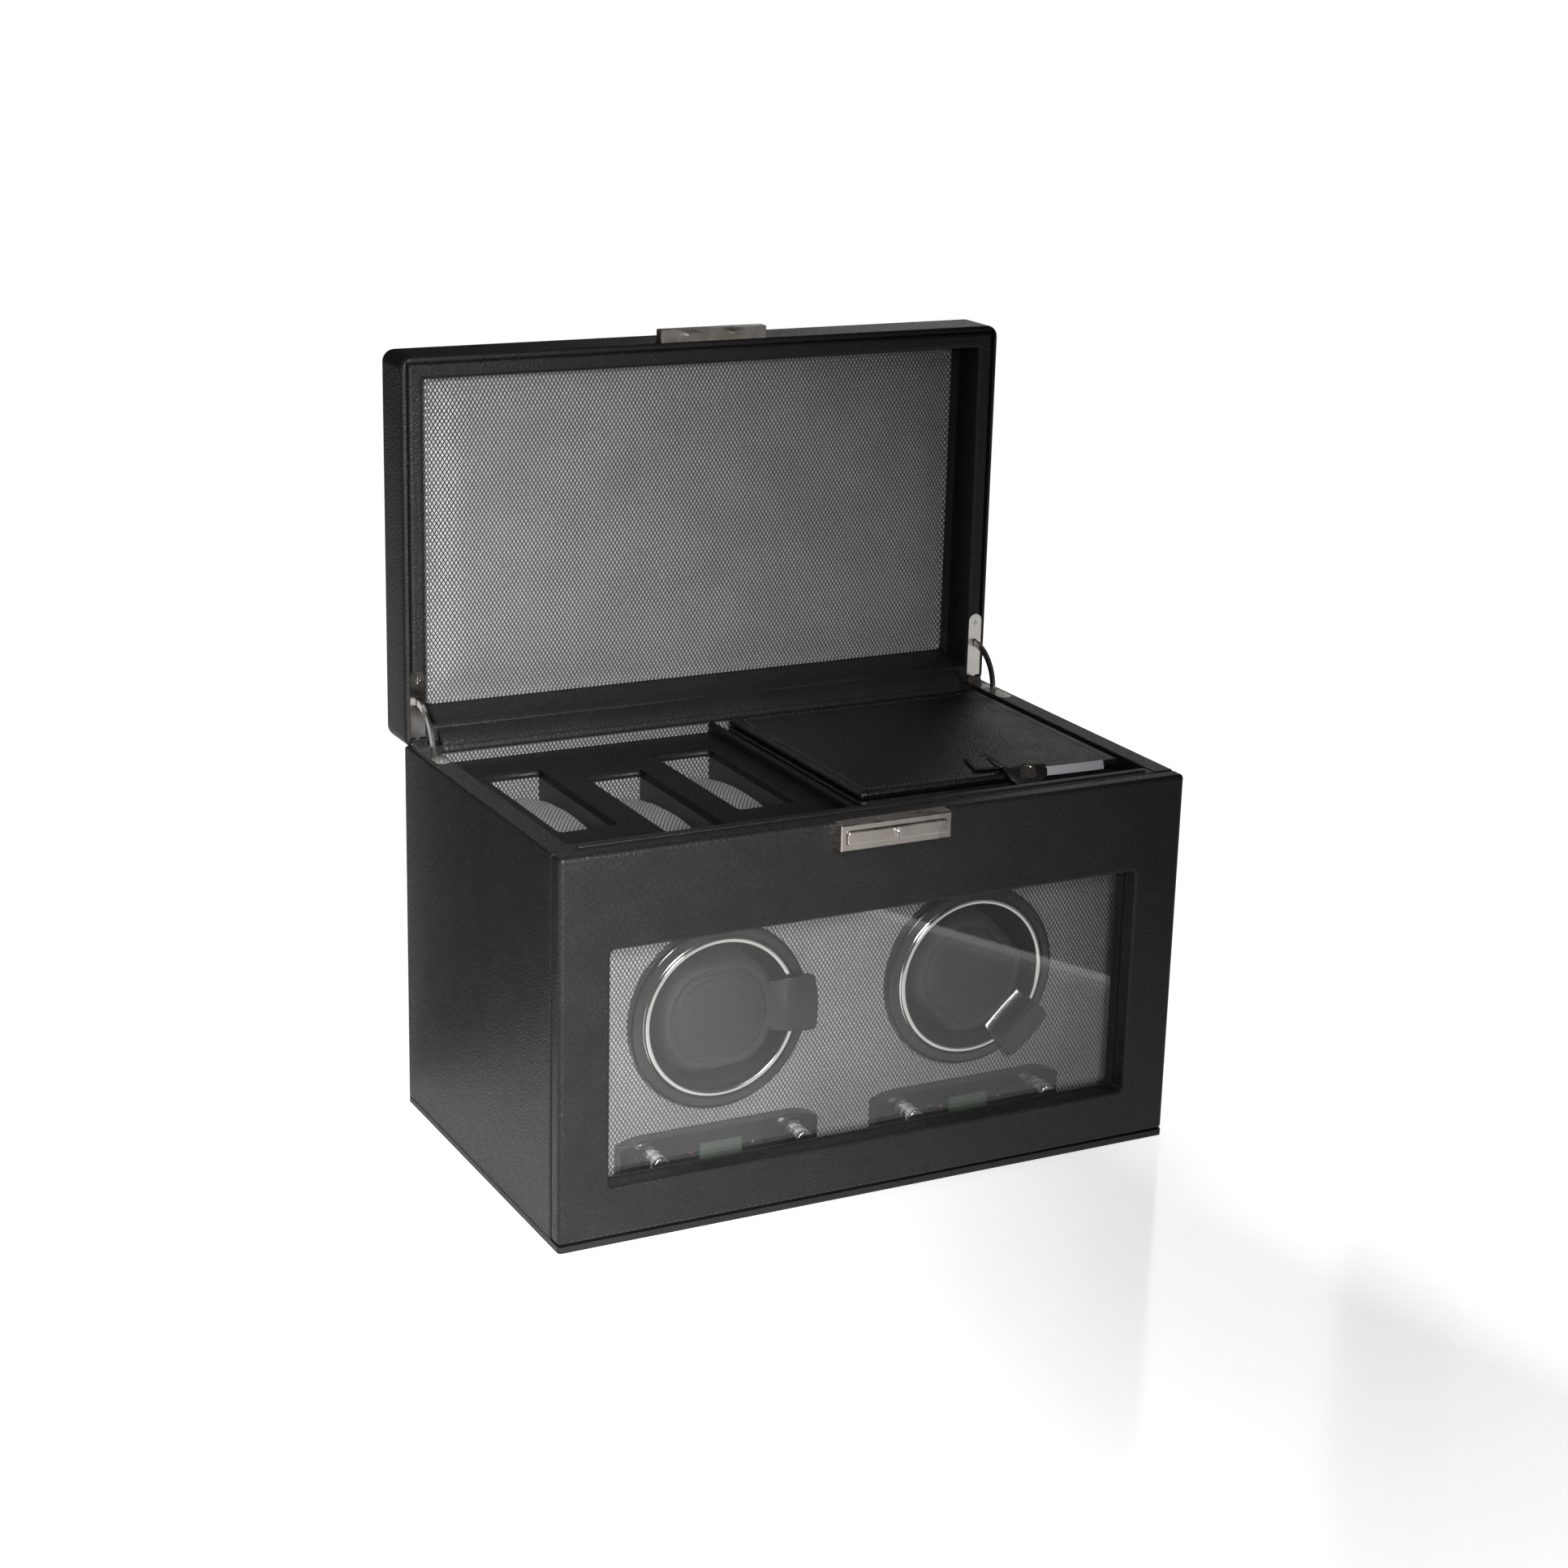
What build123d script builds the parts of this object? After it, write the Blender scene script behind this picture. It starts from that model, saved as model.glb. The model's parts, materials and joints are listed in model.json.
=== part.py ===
from build123d import *
import os

# A two-station watch winder box: a board carcass covered in leather, a lid on quadrant stay hinges,
# a drop-front glazed door with a push lock, a storage tray, a travel case and two driven drums.
# Millimetres. +Z is up, -Y is the front, the origin is the middle of the underside.
# The lid stands open at rest. Everything on it is placed by where it lies when the lid is shut.

# ---- Carcass
WIDTH = 324.0
DEPTH = 191.0
RIM_Z = 186.5
WALL = 11.0
REAR_WALL = 10.0
FLANGE_TOP_Z = 3.0
FLOOR_Z = 12.0
HALF_W = WIDTH / 2
FRONT_Y = -DEPTH / 2
REAR_Y = DEPTH / 2
INNER_X = HALF_W - WALL
REAR_INNER_Y = REAR_Y - REAR_WALL
EDGE_R = 2.0
RIM_OUTER_R = 1.6
RIM_INNER_R = 0.7
JACK_X = 100.0
JACK_Z = 32.0
JACK_R = 5.5
JACK_SOCKET_R = 2.75
JACK_CONTACT_R = 1.05
JACK_SOCKET_DEPTH = 9.0
JACK_FACE_SETBACK = 0.3
JACK_BODY_HALF_W = 7.0
JACK_BODY_DEPTH = 6.0
JACK_CONTACT_SETBACK = 1.5

# ---- Door
DOOR_T = 8.6
DOOR_BOTTOM_Z = 3.2
DOOR_TOP_Z = 186.5
DOOR_EDGE_R = 2.4
DOOR_BACK_R = 1.4
DOOR_BACK_Y = FRONT_Y + DOOR_T
CARCASS_FRONT_Y = DOOR_BACK_Y + 0.4
WINDOW_HALF_W = 137.2
WINDOW_Z = (27.8, 140.9)
WINDOW_CORNER_R = 2.2
WINDOW_EDGE_R = 1.8
GLASS_T = 2.0
GLASS_LAP = 5.0
GLASS_LAP_TOP = 3.0
RETAINER_T = 3.0
RETAINER_LAP = 4.2
RETAINER_LAP_TOP = 1.3
STRAP_Z = (2.2, 3.1)
STRAP_HALF_L = 158.0

# ---- Storage deck, tray and travel case
DECK_Z = (146.0, 150.0)
FRONT_WALL_BACK_Y = -75.5
FRONT_WALL_TOP_Z = 186.0
DIVIDER_X = (-4.0, 0.0)
DIVIDER_TOP_Z = 183.0
LIP_R = 1.7
LINING_T = 1.5
LINING_TOP_Z = 182.4
TRAY_Z = (174.0, 178.0)
SLOT_W = 30.0
SLOT_L = 95.0
SLOT_X = (-122.3, -77.3, -31.3)
SLOT_Y = (10.2, -8.5, 10.2)
SLOT_CORNER_R = 2.0
SLOT_EDGE_R = 1.5
WELL_T = 1.2
WELL_FLOOR_Z = 151.0
CUSHION_TOP_Z = 170.5
CUSHION_CROWN = 6.0
CUSHION_END_GAP = 5.0
CUSHION_SIDE_GAP = 1.0
CUSHION_EDGE_R = 1.5
CASE_X = (5.0, 149.0)
CASE_Y = (-59.5, 78.5)
CASE_FLOOR_Z = 150.3
CASE_SPLIT_Z = 181.4
CASE_TOP_Z = 186.5
CASE_WALL = 4.0
CASE_FLOOR_T = 3.0
CASE_CORNER_R = 3.0
CASE_EDGE_R = 1.8
CASE_GAP = 0.3
STRAP_X = (82.0, 106.0)
STRAP_T = 1.8
STRAP_BACK = 27.0
STRAP_REACH = 9.0
STRAP_DROP = 7.5
STRAP_END_R = 12.0
RIBBON_LENGTH = 34.0
RIBBON_T = 0.9
RIBBON_Z = (181.7, 184.6)
SNAP_R = 4.4
SNAP_T = 1.2

# ---- Hinges
HINGE_INSET = 3.0
LID_GAP = 0.2
AXIS_Y = REAR_Y - HINGE_INSET
AXIS_Z = RIM_Z + LID_GAP
LEAF_X = (152.0, 159.5)
LEAF_LENGTH = 36.0
LEAF_T = 1.4
LEAF_NOTCH = 3.0
LEAF_END_R = 3.6
LEAF_MID_X = (LEAF_X[0] + LEAF_X[1]) / 2
KNUCKLE_R = 2.4
KNUCKLE_MIDDLE = 1.2
KNUCKLE_GAP = 0.15
PIN_R = 1.0
PIN_PLAY = 0.05
ARM_R = 20.5
ARM_W = 3.2
ARM_T = 1.4
ARM_PLAY = 1.0
ARM_SLOT_HALF_W = 1.0
SCREW_AT = 31.5
SCREW_HEAD_R = 2.2
SCREW_SHANK_R = 1.2
SCREW_LENGTH = 12.0
CROSS_HALF = 1.5
CROSS_HALF_W = 0.3
CROSS_DEPTH = 0.6
RELIEF = 3.4

# ---- Lid
LID_H = 28.5
LID_TOP_T = 8.5
LID_WALL = 11.0
LID_CLOSED_Y = (-95.0, 95.2)
LID_CORNER_R = 6.0
LID_EDGE_R = 4.0
LID_RIM_R = 1.8
LID_LIP_R = 2.0
LID_GROOVE_INSET = 2.4
LID_GROOVE_W = 1.0
LID_GROOVE_DEPTH = 2.6
PAD_HALF_W = 144.6
PAD_T = 5.0
PAD_CLOSED_Y = (-82.5, 78.5)
GUSSET_HALF_W = 146.0
GUSSET_T = 1.2

# ---- Lock
LOCK_HALF_W = 28.5
LOCK_Z = (174.6, 187.0)
LOCK_PROUD = 8.0
BUTTON_HALF_W = 25.8
BUTTON_HALF_H = 3.15
KEY_R = 2.8
HOOK_X = 12.0
HOOK_Y = -99.0

# ---- Winder stations
STATION_X = 67.1
DRUM_Z = 87.3
FASCIA_Y = (-58.5, -54.5)
BEZEL_R = 45.5
BEZEL_BORE_R = 40.2
BEZEL_FRONT_Y = -64.0
RING_R = 39.7
RING_BORE_R = 37.2
DRUM_R = 39.2
DRUM_BORE_R = 36.8
DRUM_BACK_Y = -6.0
CUFF_R = 31.0
CUFF_HALF_H = 28.0
CUFF_FRONT_Y = -63.5
AXLE_R = 3.0
BRACKET_Y = (6.0, 9.0)
DRUM_GROOVE_R = 20.0
MOTOR_GROOVE_R = 5.0
MOTOR_DX = 24.0
MOTOR_Z = 43.0
BELT_GAP = 0.3
BELT_T = 1.5
STATION_TURN = {"left": 3.0, "right": -47.0}

# ---- Control panels
PANEL_HALF_W = 51.2
PANEL_Z = (14.5, 33.0)
PANEL_FRONT_Y = -66.0
KNOB_X = 37.0
KNOB_Z = 25.5
KNOB_R = 5.2
KNOB_FRONT_Y = -80.3
KEYPAD_X = 22.3
KEYPAD_Z = 23.0
KEYPAD_R = 1.9
DISPLAY_HALF_W = 11.0
DISPLAY_Z = (18.4, 26.8)
STEM_BACK_Y = -61.5

SIDES = {"left": -1, "right": 1}


# ---- Helpers
def block(x, y, z):
    """A box from its (low, high) range on each axis."""
    ranges = (x, y, z)
    size = [high - low for low, high in ranges]
    middle = [(high + low) / 2 for low, high in ranges]
    return Pos(*middle) * Box(*size)


def across(side, near, far):
    """The X range from near to far, measured outwards from the middle on the left or the right."""
    return tuple(sorted((side * near, side * far)))


def rod_x(radius, x, y, z):
    return Pos((x[0] + x[1]) / 2, y, z) * Rot(0, 90, 0) * Cylinder(radius, x[1] - x[0])


def rod_y(radius, x, y, z):
    return Pos(x, (y[0] + y[1]) / 2, z) * Rot(90, 0, 0) * Cylinder(radius, y[1] - y[0])


def rod_z(radius, x, y, z):
    return Pos(x, y, (z[0] + z[1]) / 2) * Cylinder(radius, z[1] - z[0])


def prism_x(outline, x):
    """A face drawn in (Y, Z), pulled along X."""
    return extrude(Plane.YZ.offset(x[0]) * outline, amount=x[1] - x[0])


def prism_y(outline, y):
    """A face drawn in (X, Z), pulled along Y."""
    return extrude(Plane.XZ.offset(-y[1]) * outline, amount=y[1] - y[0])


def lid_z(closed_y):
    """Height, with the lid open, of what lies at closed_y when it is shut."""
    return AXIS_Z + AXIS_Y - closed_y


def lid_span(closed_y):
    return lid_z(closed_y[1]), lid_z(closed_y[0])


def flat_oval(radius, half_height):
    """A disc with its top and bottom cut straight."""
    return Circle(radius) & Rectangle(2 * radius, 2 * half_height)


def turned(solid, side_name):
    """A drum's piece, modelled about the Y axis, set on its station at its angle."""
    x = SIDES[side_name] * STATION_X
    return Pos(x, 0, DRUM_Z) * Rot(0, -STATION_TURN[side_name], 0) * solid


# ---- Carcass
def base_panel():
    """A board that closes the carcass from below; a rebate in its front takes the door's hinge strap."""
    flange = block((-HALF_W, HALF_W), (FRONT_Y, REAR_Y), (0, FLANGE_TOP_Z))
    flange = fillet(flange.edges().filter_by(Axis.Z), EDGE_R)
    inner = block((-INNER_X, INNER_X), (CARCASS_FRONT_Y, REAR_INNER_Y), (FLANGE_TOP_Z, FLOOR_Z))
    rebate = block((-STRAP_HALF_L, STRAP_HALF_L), (FRONT_Y, CARCASS_FRONT_Y), (STRAP_Z[0], FLANGE_TOP_Z))
    return flange + inner - rebate


def hinge_relief():
    """The 45 degree bevel along the carcass's rear top edge, which lets the lid swing past it."""
    corner = Polygon((REAR_Y + 1, RIM_Z + 1), (REAR_Y - RELIEF, RIM_Z + 1), (REAR_Y - RELIEF, RIM_Z),
                     (REAR_Y, RIM_Z - RELIEF), (REAR_Y + 1, RIM_Z - RELIEF), align=None)
    return prism_x(corner, (-HALF_W - 1, HALF_W + 1))


def leaf_blank(side):
    """The box leaf before its holes: the recess in the wall has this shape."""
    leaf = block(across(side, *LEAF_X), (AXIS_Y - LEAF_LENGTH, AXIS_Y), (RIM_Z - LEAF_T, RIM_Z))
    return fillet(leaf.edges().filter_by(Axis.Z).group_by(Axis.Y)[0], LEAF_END_R)


def knuckle_room(side):
    return rod_x(KNUCKLE_R + 0.4, across(side, LEAF_X[0] - 0.3, LEAF_X[1] + 0.3), AXIS_Y, AXIS_Z)


def box_screw(side):
    """A screw for the box leaf, and the cross recess in its head."""
    place = Pos(side * LEAF_MID_X, AXIS_Y - SCREW_AT, RIM_Z)
    return place * screw_body(), place * screw_cross()


def screw_body():
    """A screw standing on -Z, its flat head's top at the origin and as thick as a leaf."""
    return rod_z(SCREW_HEAD_R, 0, 0, (-LEAF_T, 0)) + rod_z(SCREW_SHANK_R, 0, 0, (-SCREW_LENGTH, -LEAF_T))


def screw_cross():
    long = (-CROSS_HALF, CROSS_HALF)
    short = (-CROSS_HALF_W, CROSS_HALF_W)
    return block(long, short, (-CROSS_DEPTH, 0)) + block(short, long, (-CROSS_DEPTH, 0))


def side_wall(side):
    wall = block(across(side, INNER_X, HALF_W), (CARCASS_FRONT_Y, REAR_Y), (FLANGE_TOP_Z, RIM_Z))
    outer = across(side, HALF_W - 1, HALF_W + 1)
    inner = across(side, INNER_X - 1, INNER_X + 1)
    wall = fillet(wall.edges().filter_by(Axis.Z).filter_by_position(Axis.X, *outer), EDGE_R)
    for x_range, radius in ((outer, RIM_OUTER_R), (inner, RIM_INNER_R)):
        rim = wall.edges().filter_by(Axis.Y).group_by(Axis.Z)[-1]
        wall = fillet(rim.filter_by_position(Axis.X, *x_range), radius)
    screw, _ = box_screw(side)
    return wall - hinge_relief() - leaf_blank(side) - knuckle_room(side) - screw


def rear_wall():
    wall = block((-INNER_X, INNER_X), (REAR_INNER_Y, REAR_Y), (FLANGE_TOP_Z, RIM_Z))
    return wall - hinge_relief() - rod_y(JACK_R, JACK_X, (REAR_INNER_Y - 1, REAR_Y + 1), JACK_Z)


def power_jack():
    face_y = REAR_Y - JACK_FACE_SETBACK
    floor_y = face_y - JACK_SOCKET_DEPTH
    x = (JACK_X - JACK_BODY_HALF_W, JACK_X + JACK_BODY_HALF_W)
    z = (JACK_Z - JACK_BODY_HALF_W, JACK_Z + JACK_BODY_HALF_W)
    nose = rod_y(JACK_R, JACK_X, (REAR_INNER_Y, face_y), JACK_Z)
    body = block(x, (REAR_INNER_Y - JACK_BODY_DEPTH, REAR_INNER_Y), z)
    socket = rod_y(JACK_SOCKET_R, JACK_X, (floor_y, REAR_Y), JACK_Z)
    contact = rod_y(JACK_CONTACT_R, JACK_X, (floor_y, REAR_Y - JACK_CONTACT_SETBACK), JACK_Z)
    return nose + body - socket + contact


def storage_deck():
    return block((-INNER_X, INNER_X), (CARCASS_FRONT_Y, REAR_INNER_Y), DECK_Z)


def storage_front_wall():
    wall = block((-INNER_X, INNER_X), (CARCASS_FRONT_Y, FRONT_WALL_BACK_Y), (DECK_Z[1], FRONT_WALL_TOP_Z))
    return fillet(wall.edges().filter_by(Axis.X).group_by(Axis.Z)[-1], LIP_R)


def tray_divider():
    divider = block(DIVIDER_X, (FRONT_WALL_BACK_Y, REAR_INNER_Y - LINING_T), (DECK_Z[1], DIVIDER_TOP_Z))
    return fillet(divider.edges().filter_by(Axis.Y).group_by(Axis.Z)[-1], LIP_R)


def rear_lining():
    return block((-INNER_X, INNER_X), (REAR_INNER_Y - LINING_T, REAR_INNER_Y), (DECK_Z[1], LINING_TOP_Z))


def door_hinge_strap():
    """The leather strip that joins the door's lower edge to the base."""
    return block((-STRAP_HALF_L, STRAP_HALF_L), (FRONT_Y, CARCASS_FRONT_Y), STRAP_Z)


# ---- Storage tray
def slot_hole(x, y, z):
    hole = block((x - SLOT_W / 2, x + SLOT_W / 2), (y - SLOT_L / 2, y + SLOT_L / 2), z)
    return fillet(hole.edges().filter_by(Axis.Z), SLOT_CORNER_R)


def watch_tray():
    y = (FRONT_WALL_BACK_Y, REAR_INNER_Y - LINING_T)
    tray = block((-INNER_X, DIVIDER_X[0]), y, TRAY_Z)
    for x, slot_y in zip(SLOT_X, SLOT_Y):
        tray -= slot_hole(x, slot_y, (TRAY_Z[0] - 1, TRAY_Z[1] + 1))
    rims = [wire.edges() for wire in tray.faces().sort_by(Axis.Z)[-1].inner_wires()]
    for rim in rims:
        tray = fillet(rim, SLOT_EDGE_R)
    return tray


def tray_well(x, y):
    """The five covered cards that line a slot: a floor, two sides and two ends."""
    left, right = x - SLOT_W / 2, x + SLOT_W / 2
    front, back = y - SLOT_L / 2, y + SLOT_L / 2
    z = (DECK_Z[1], TRAY_Z[0])
    cards = [block((left, right), (front, back), (DECK_Z[1], WELL_FLOOR_Z))]
    for low in (left - WELL_T, right):
        cards.append(block((low, low + WELL_T), (front - WELL_T, back + WELL_T), z))
    for low in (front - WELL_T, back):
        cards.append(block((left, right), (low, low + WELL_T), z))
    return cards


def tray_cushion(x, y):
    """A pillow with a crowned top, standing free in its well."""
    half = SLOT_L / 2 - CUSHION_END_GAP
    half_w = SLOT_W / 2 - CUSHION_SIDE_GAP
    low = WELL_FLOOR_Z + CASE_GAP
    shoulder = CUSHION_TOP_Z - CUSHION_CROWN
    outline = Polyline((y - half, shoulder), (y - half, low), (y + half, low), (y + half, shoulder))
    outline += ThreePointArc((y + half, shoulder), (y, CUSHION_TOP_Z), (y - half, shoulder))
    pillow = prism_x(make_face(outline), (x - half_w, x + half_w))
    return fillet(pillow.edges().filter_by(Axis.X, reverse=True).filter_by(Axis.Z, reverse=True), CUSHION_EDGE_R)


# ---- Travel case
def case_base():
    shell = block(CASE_X, CASE_Y, (CASE_FLOOR_Z, CASE_SPLIT_Z))
    shell = fillet(shell.edges().filter_by(Axis.Z), CASE_CORNER_R)
    x = (CASE_X[0] + CASE_WALL, CASE_X[1] - CASE_WALL)
    y = (CASE_Y[0] + CASE_WALL, CASE_Y[1] - CASE_WALL)
    return shell - block(x, y, (CASE_FLOOR_Z + CASE_FLOOR_T, CASE_SPLIT_Z + 1))


def case_lid():
    lid = block(CASE_X, CASE_Y, (CASE_SPLIT_Z + CASE_GAP, CASE_TOP_Z))
    lid = fillet(lid.edges().filter_by(Axis.Z), CASE_CORNER_R)
    return fillet(lid.faces().sort_by(Axis.Z)[-1].edges(), CASE_EDGE_R)


def case_strap():
    """A leather tab that lies on the case and curls over its front edge."""
    front = CASE_Y[0]
    top = CASE_TOP_Z
    lip = front + 1
    tip = front - STRAP_REACH
    tip_z = top - STRAP_DROP
    outer = Polyline((front + STRAP_BACK, top), (front + STRAP_BACK, top + STRAP_T), (lip, top + STRAP_T))
    outer += ThreePointArc((lip, top + STRAP_T), (front - 6, top - 1.1), (tip, tip_z))
    outer += Line((tip, tip_z), (tip + STRAP_T, tip_z))
    outer += ThreePointArc((tip + STRAP_T, tip_z), (front - 4.8, top - 2.6), (lip, top))
    outer += Line((lip, top), (front + STRAP_BACK, top))
    strap = prism_x(make_face(outer), STRAP_X)
    middle_x = (STRAP_X[0] + STRAP_X[1]) / 2
    round_y = front + 4
    trim = rod_z(STRAP_END_R, middle_x, round_y, (top - 20, top + 5))
    trim += block(STRAP_X, (round_y, front + STRAP_BACK + 1), (top - 1, top + 5))
    return (strap & trim) - snap_place() * Cylinder(SNAP_R, SNAP_T)


def snap_place():
    middle_x = (STRAP_X[0] + STRAP_X[1]) / 2
    return Pos(middle_x, CASE_Y[0] - 3.4, CASE_TOP_Z + 0.55) * Rot(40, 0, 0)


def case_snap():
    snap = Cylinder(SNAP_R, SNAP_T)
    dish = Pos(0, 0, SNAP_T / 2) * Cylinder(SNAP_R - 1.4, SNAP_T / 2)
    return snap_place() * (snap - dish)


def case_ribbon():
    """The pale pull band along the case lid's front edge."""
    return block((STRAP_X[1] - 1, STRAP_X[1] + RIBBON_LENGTH), (CASE_Y[0] - RIBBON_T, CASE_Y[0]), RIBBON_Z)


# ---- Hinges
def arm_ring(side, width, thickness):
    """The full ring that the stay arm and its pocket are cut from."""
    x = across(side, LEAF_MID_X - thickness / 2, LEAF_MID_X + thickness / 2)
    return rod_x(ARM_R + width / 2, x, AXIS_Y, AXIS_Z) - rod_x(ARM_R - width / 2, x, AXIS_Y, AXIS_Z)


def stay_arm(side):
    reach = ARM_R + ARM_W
    quarter = block(across(side, *LEAF_X), (AXIS_Y - reach, AXIS_Y + 1.2), (RIM_Z - LEAF_T, AXIS_Z + reach))
    return arm_ring(side, ARM_W, ARM_T) & quarter


def arm_pocket(side):
    """The room in the lid's side wall that the arm slides into as the lid shuts."""
    reach = ARM_R + ARM_W
    quarter = block(across(side, *LEAF_X), (AXIS_Y - 1, AXIS_Y + reach), (AXIS_Z - 1.7, AXIS_Z + reach))
    return arm_ring(side, ARM_W + ARM_PLAY, ARM_T + ARM_PLAY) & quarter


def knuckles(side, middle):
    """The middle knuckle, or the two outer ones, along the hinge axis."""
    if middle:
        spans = [(LEAF_MID_X - KNUCKLE_MIDDLE, LEAF_MID_X + KNUCKLE_MIDDLE)]
    else:
        inner = KNUCKLE_MIDDLE + KNUCKLE_GAP
        spans = [(LEAF_X[0], LEAF_MID_X - inner), (LEAF_MID_X + inner, LEAF_X[1])]
    return [rod_x(KNUCKLE_R, across(side, *span), AXIS_Y, AXIS_Z) for span in spans], spans


def box_hinge_leaf(side):
    leaf = leaf_blank(side)
    leaf -= block(across(side, *LEAF_X), (AXIS_Y - LEAF_NOTCH, AXIS_Y + 1), (RIM_Z - 3, RIM_Z + 1))
    barrels, spans = knuckles(side, middle=False)
    for barrel, span in zip(barrels, spans):
        leaf += barrel
        leaf += block(across(side, *span), (AXIS_Y - LEAF_NOTCH, AXIS_Y), (RIM_Z - LEAF_T, RIM_Z))
    screw, _ = box_screw(side)
    return leaf - rod_x(PIN_R, across(side, *LEAF_X), AXIS_Y, AXIS_Z) - stay_arm(side) - screw


def hinge_pin(side):
    return rod_x(PIN_R, across(side, *LEAF_X), AXIS_Y, AXIS_Z)


def lid_leaf_blank(side):
    leaf = block(across(side, *LEAF_X), (AXIS_Y, AXIS_Y + LEAF_T), (AXIS_Z, AXIS_Z + LEAF_LENGTH))
    return fillet(leaf.edges().filter_by(Axis.Y).group_by(Axis.Z)[-1], LEAF_END_R)


def lid_screw(side):
    """A screw for the lid leaf, and the cross recess in its head."""
    place = Pos(side * LEAF_MID_X, AXIS_Y, AXIS_Z + SCREW_AT) * Rot(90, 0, 0)
    return place * screw_body(), place * screw_cross()


def lid_hinge_leaf(side):
    leaf = lid_leaf_blank(side)
    leaf -= block(across(side, *LEAF_X), (AXIS_Y - 1, AXIS_Y + 3), (AXIS_Z - 1, AXIS_Z + LEAF_NOTCH))
    barrels, spans = knuckles(side, middle=True)
    leaf += barrels[0]
    leaf += block(across(side, *spans[0]), (AXIS_Y, AXIS_Y + LEAF_T), (AXIS_Z, AXIS_Z + LEAF_NOTCH))
    half = (ARM_W + ARM_PLAY) / 2
    slot_x = across(side, LEAF_MID_X - ARM_SLOT_HALF_W, LEAF_MID_X + ARM_SLOT_HALF_W)
    slot = block(slot_x, (AXIS_Y - 1, AXIS_Y + 3), (AXIS_Z + ARM_R - half, AXIS_Z + ARM_R + half))
    screw, _ = lid_screw(side)
    return leaf - rod_x(PIN_R + PIN_PLAY, across(side, *LEAF_X), AXIS_Y, AXIS_Z) - slot - screw


# ---- Lid
def lid_groove(z):
    """The groove between the lid's covered side and its rolled rim, open at the hinge edge."""
    near = LID_GROOVE_INSET
    far = LID_GROOVE_INSET + LID_GROOVE_W
    y = (AXIS_Y - 1, AXIS_Y + LID_GROOVE_DEPTH)
    outer = block((near - HALF_W, HALF_W - near), y, (z[0] - 1, z[1] - near))
    return outer - block((far - HALF_W, HALF_W - far), y, (z[0] - 1, z[1] - far))


def lid_shell():
    y = (AXIS_Y, AXIS_Y + LID_H)
    z = lid_span(LID_CLOSED_Y)
    shell = block((-HALF_W, HALF_W), y, z)
    shell = fillet(shell.edges().filter_by(Axis.Y), LID_CORNER_R)
    shell = fillet(shell.faces().sort_by(Axis.Y)[-1].edges(), LID_EDGE_R)
    shell = fillet(shell.faces().sort_by(Axis.Y)[0].edges(), LID_LIP_R)
    cavity_z = (z[0] + LID_WALL, z[1] - LID_WALL)
    shell -= block((-INNER_X, INNER_X), (AXIS_Y - 1, AXIS_Y + LID_H - LID_TOP_T), cavity_z)
    shell -= lid_groove(z)
    rim = shell.faces().group_by(Axis.Y)[0].sort_by(SortBy.AREA)[-1]
    shell = fillet(rim.edges().filter_by_position(Axis.Z, z[0] + LID_LIP_R + LID_RIM_R, z[1]), LID_RIM_R)
    bevel = Polygon((AXIS_Y - 1, z[0] - 1), (AXIS_Y + RELIEF, z[0] - 1), (AXIS_Y + RELIEF, z[0]),
                    (AXIS_Y, z[0] + RELIEF), (AXIS_Y - 1, z[0] + RELIEF), align=None)
    shell -= prism_x(bevel, (-HALF_W - 1, HALF_W + 1))
    for side in SIDES.values():
        screw, _ = lid_screw(side)
        shell = shell - lid_leaf_blank(side) - knuckle_room(side) - arm_pocket(side) - screw
    return shell


def lid_pad():
    y = (AXIS_Y + LID_H - LID_TOP_T - PAD_T, AXIS_Y + LID_H - LID_TOP_T)
    pad = block((-PAD_HALF_W, PAD_HALF_W), y, lid_span(PAD_CLOSED_Y))
    return fillet(pad.faces().sort_by(Axis.Y)[0].edges(), 2.0)


def lid_gusset():
    """The leather flap that bridges from the lid's lining to the carcass's rear wall."""
    low_z = 183.0
    centre = (AXIS_Y + 3.7, RIM_Z + 0.1)
    back_y = AXIS_Y + LID_H - LID_TOP_T

    def side_line(radius):
        front = centre[0] - radius
        top = centre[1] + radius
        path = Line((front, low_z), (front, centre[1]))
        path += RadiusArc((front, centre[1]), (centre[0], top), radius)
        return path + Line((centre[0], top), (back_y, top + 1.0))

    outer_r = 12.0
    inner_r = outer_r - GUSSET_T
    ends = Line((centre[0] - outer_r, low_z), (centre[0] - inner_r, low_z))
    ends += Line((back_y, centre[1] + outer_r + 1.0), (back_y, centre[1] + inner_r + 1.0))
    outline = side_line(outer_r) + side_line(inner_r) + ends
    return prism_x(make_face(outline), (-GUSSET_HALF_W, GUSSET_HALF_W))


def lid_catch():
    """The plate on the lid's front edge, with two hooks that drop into the lock."""
    z_low = lid_z(LID_CLOSED_Y[0])
    plate = block((-LOCK_HALF_W, LOCK_HALF_W), (AXIS_Y + 0.6, AXIS_Y + 6.0), (z_low, z_low + 6.2))
    plate = fillet(plate.edges().filter_by(Axis.Y), 0.5)
    hook_z = lid_z(HOOK_Y)
    for x in (-HOOK_X, HOOK_X):
        plate += block((x - 4.2, x + 4.2), (AXIS_Y - 5, AXIS_Y + 0.6), (hook_z - 0.6, hook_z + 0.6))
    return plate


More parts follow.
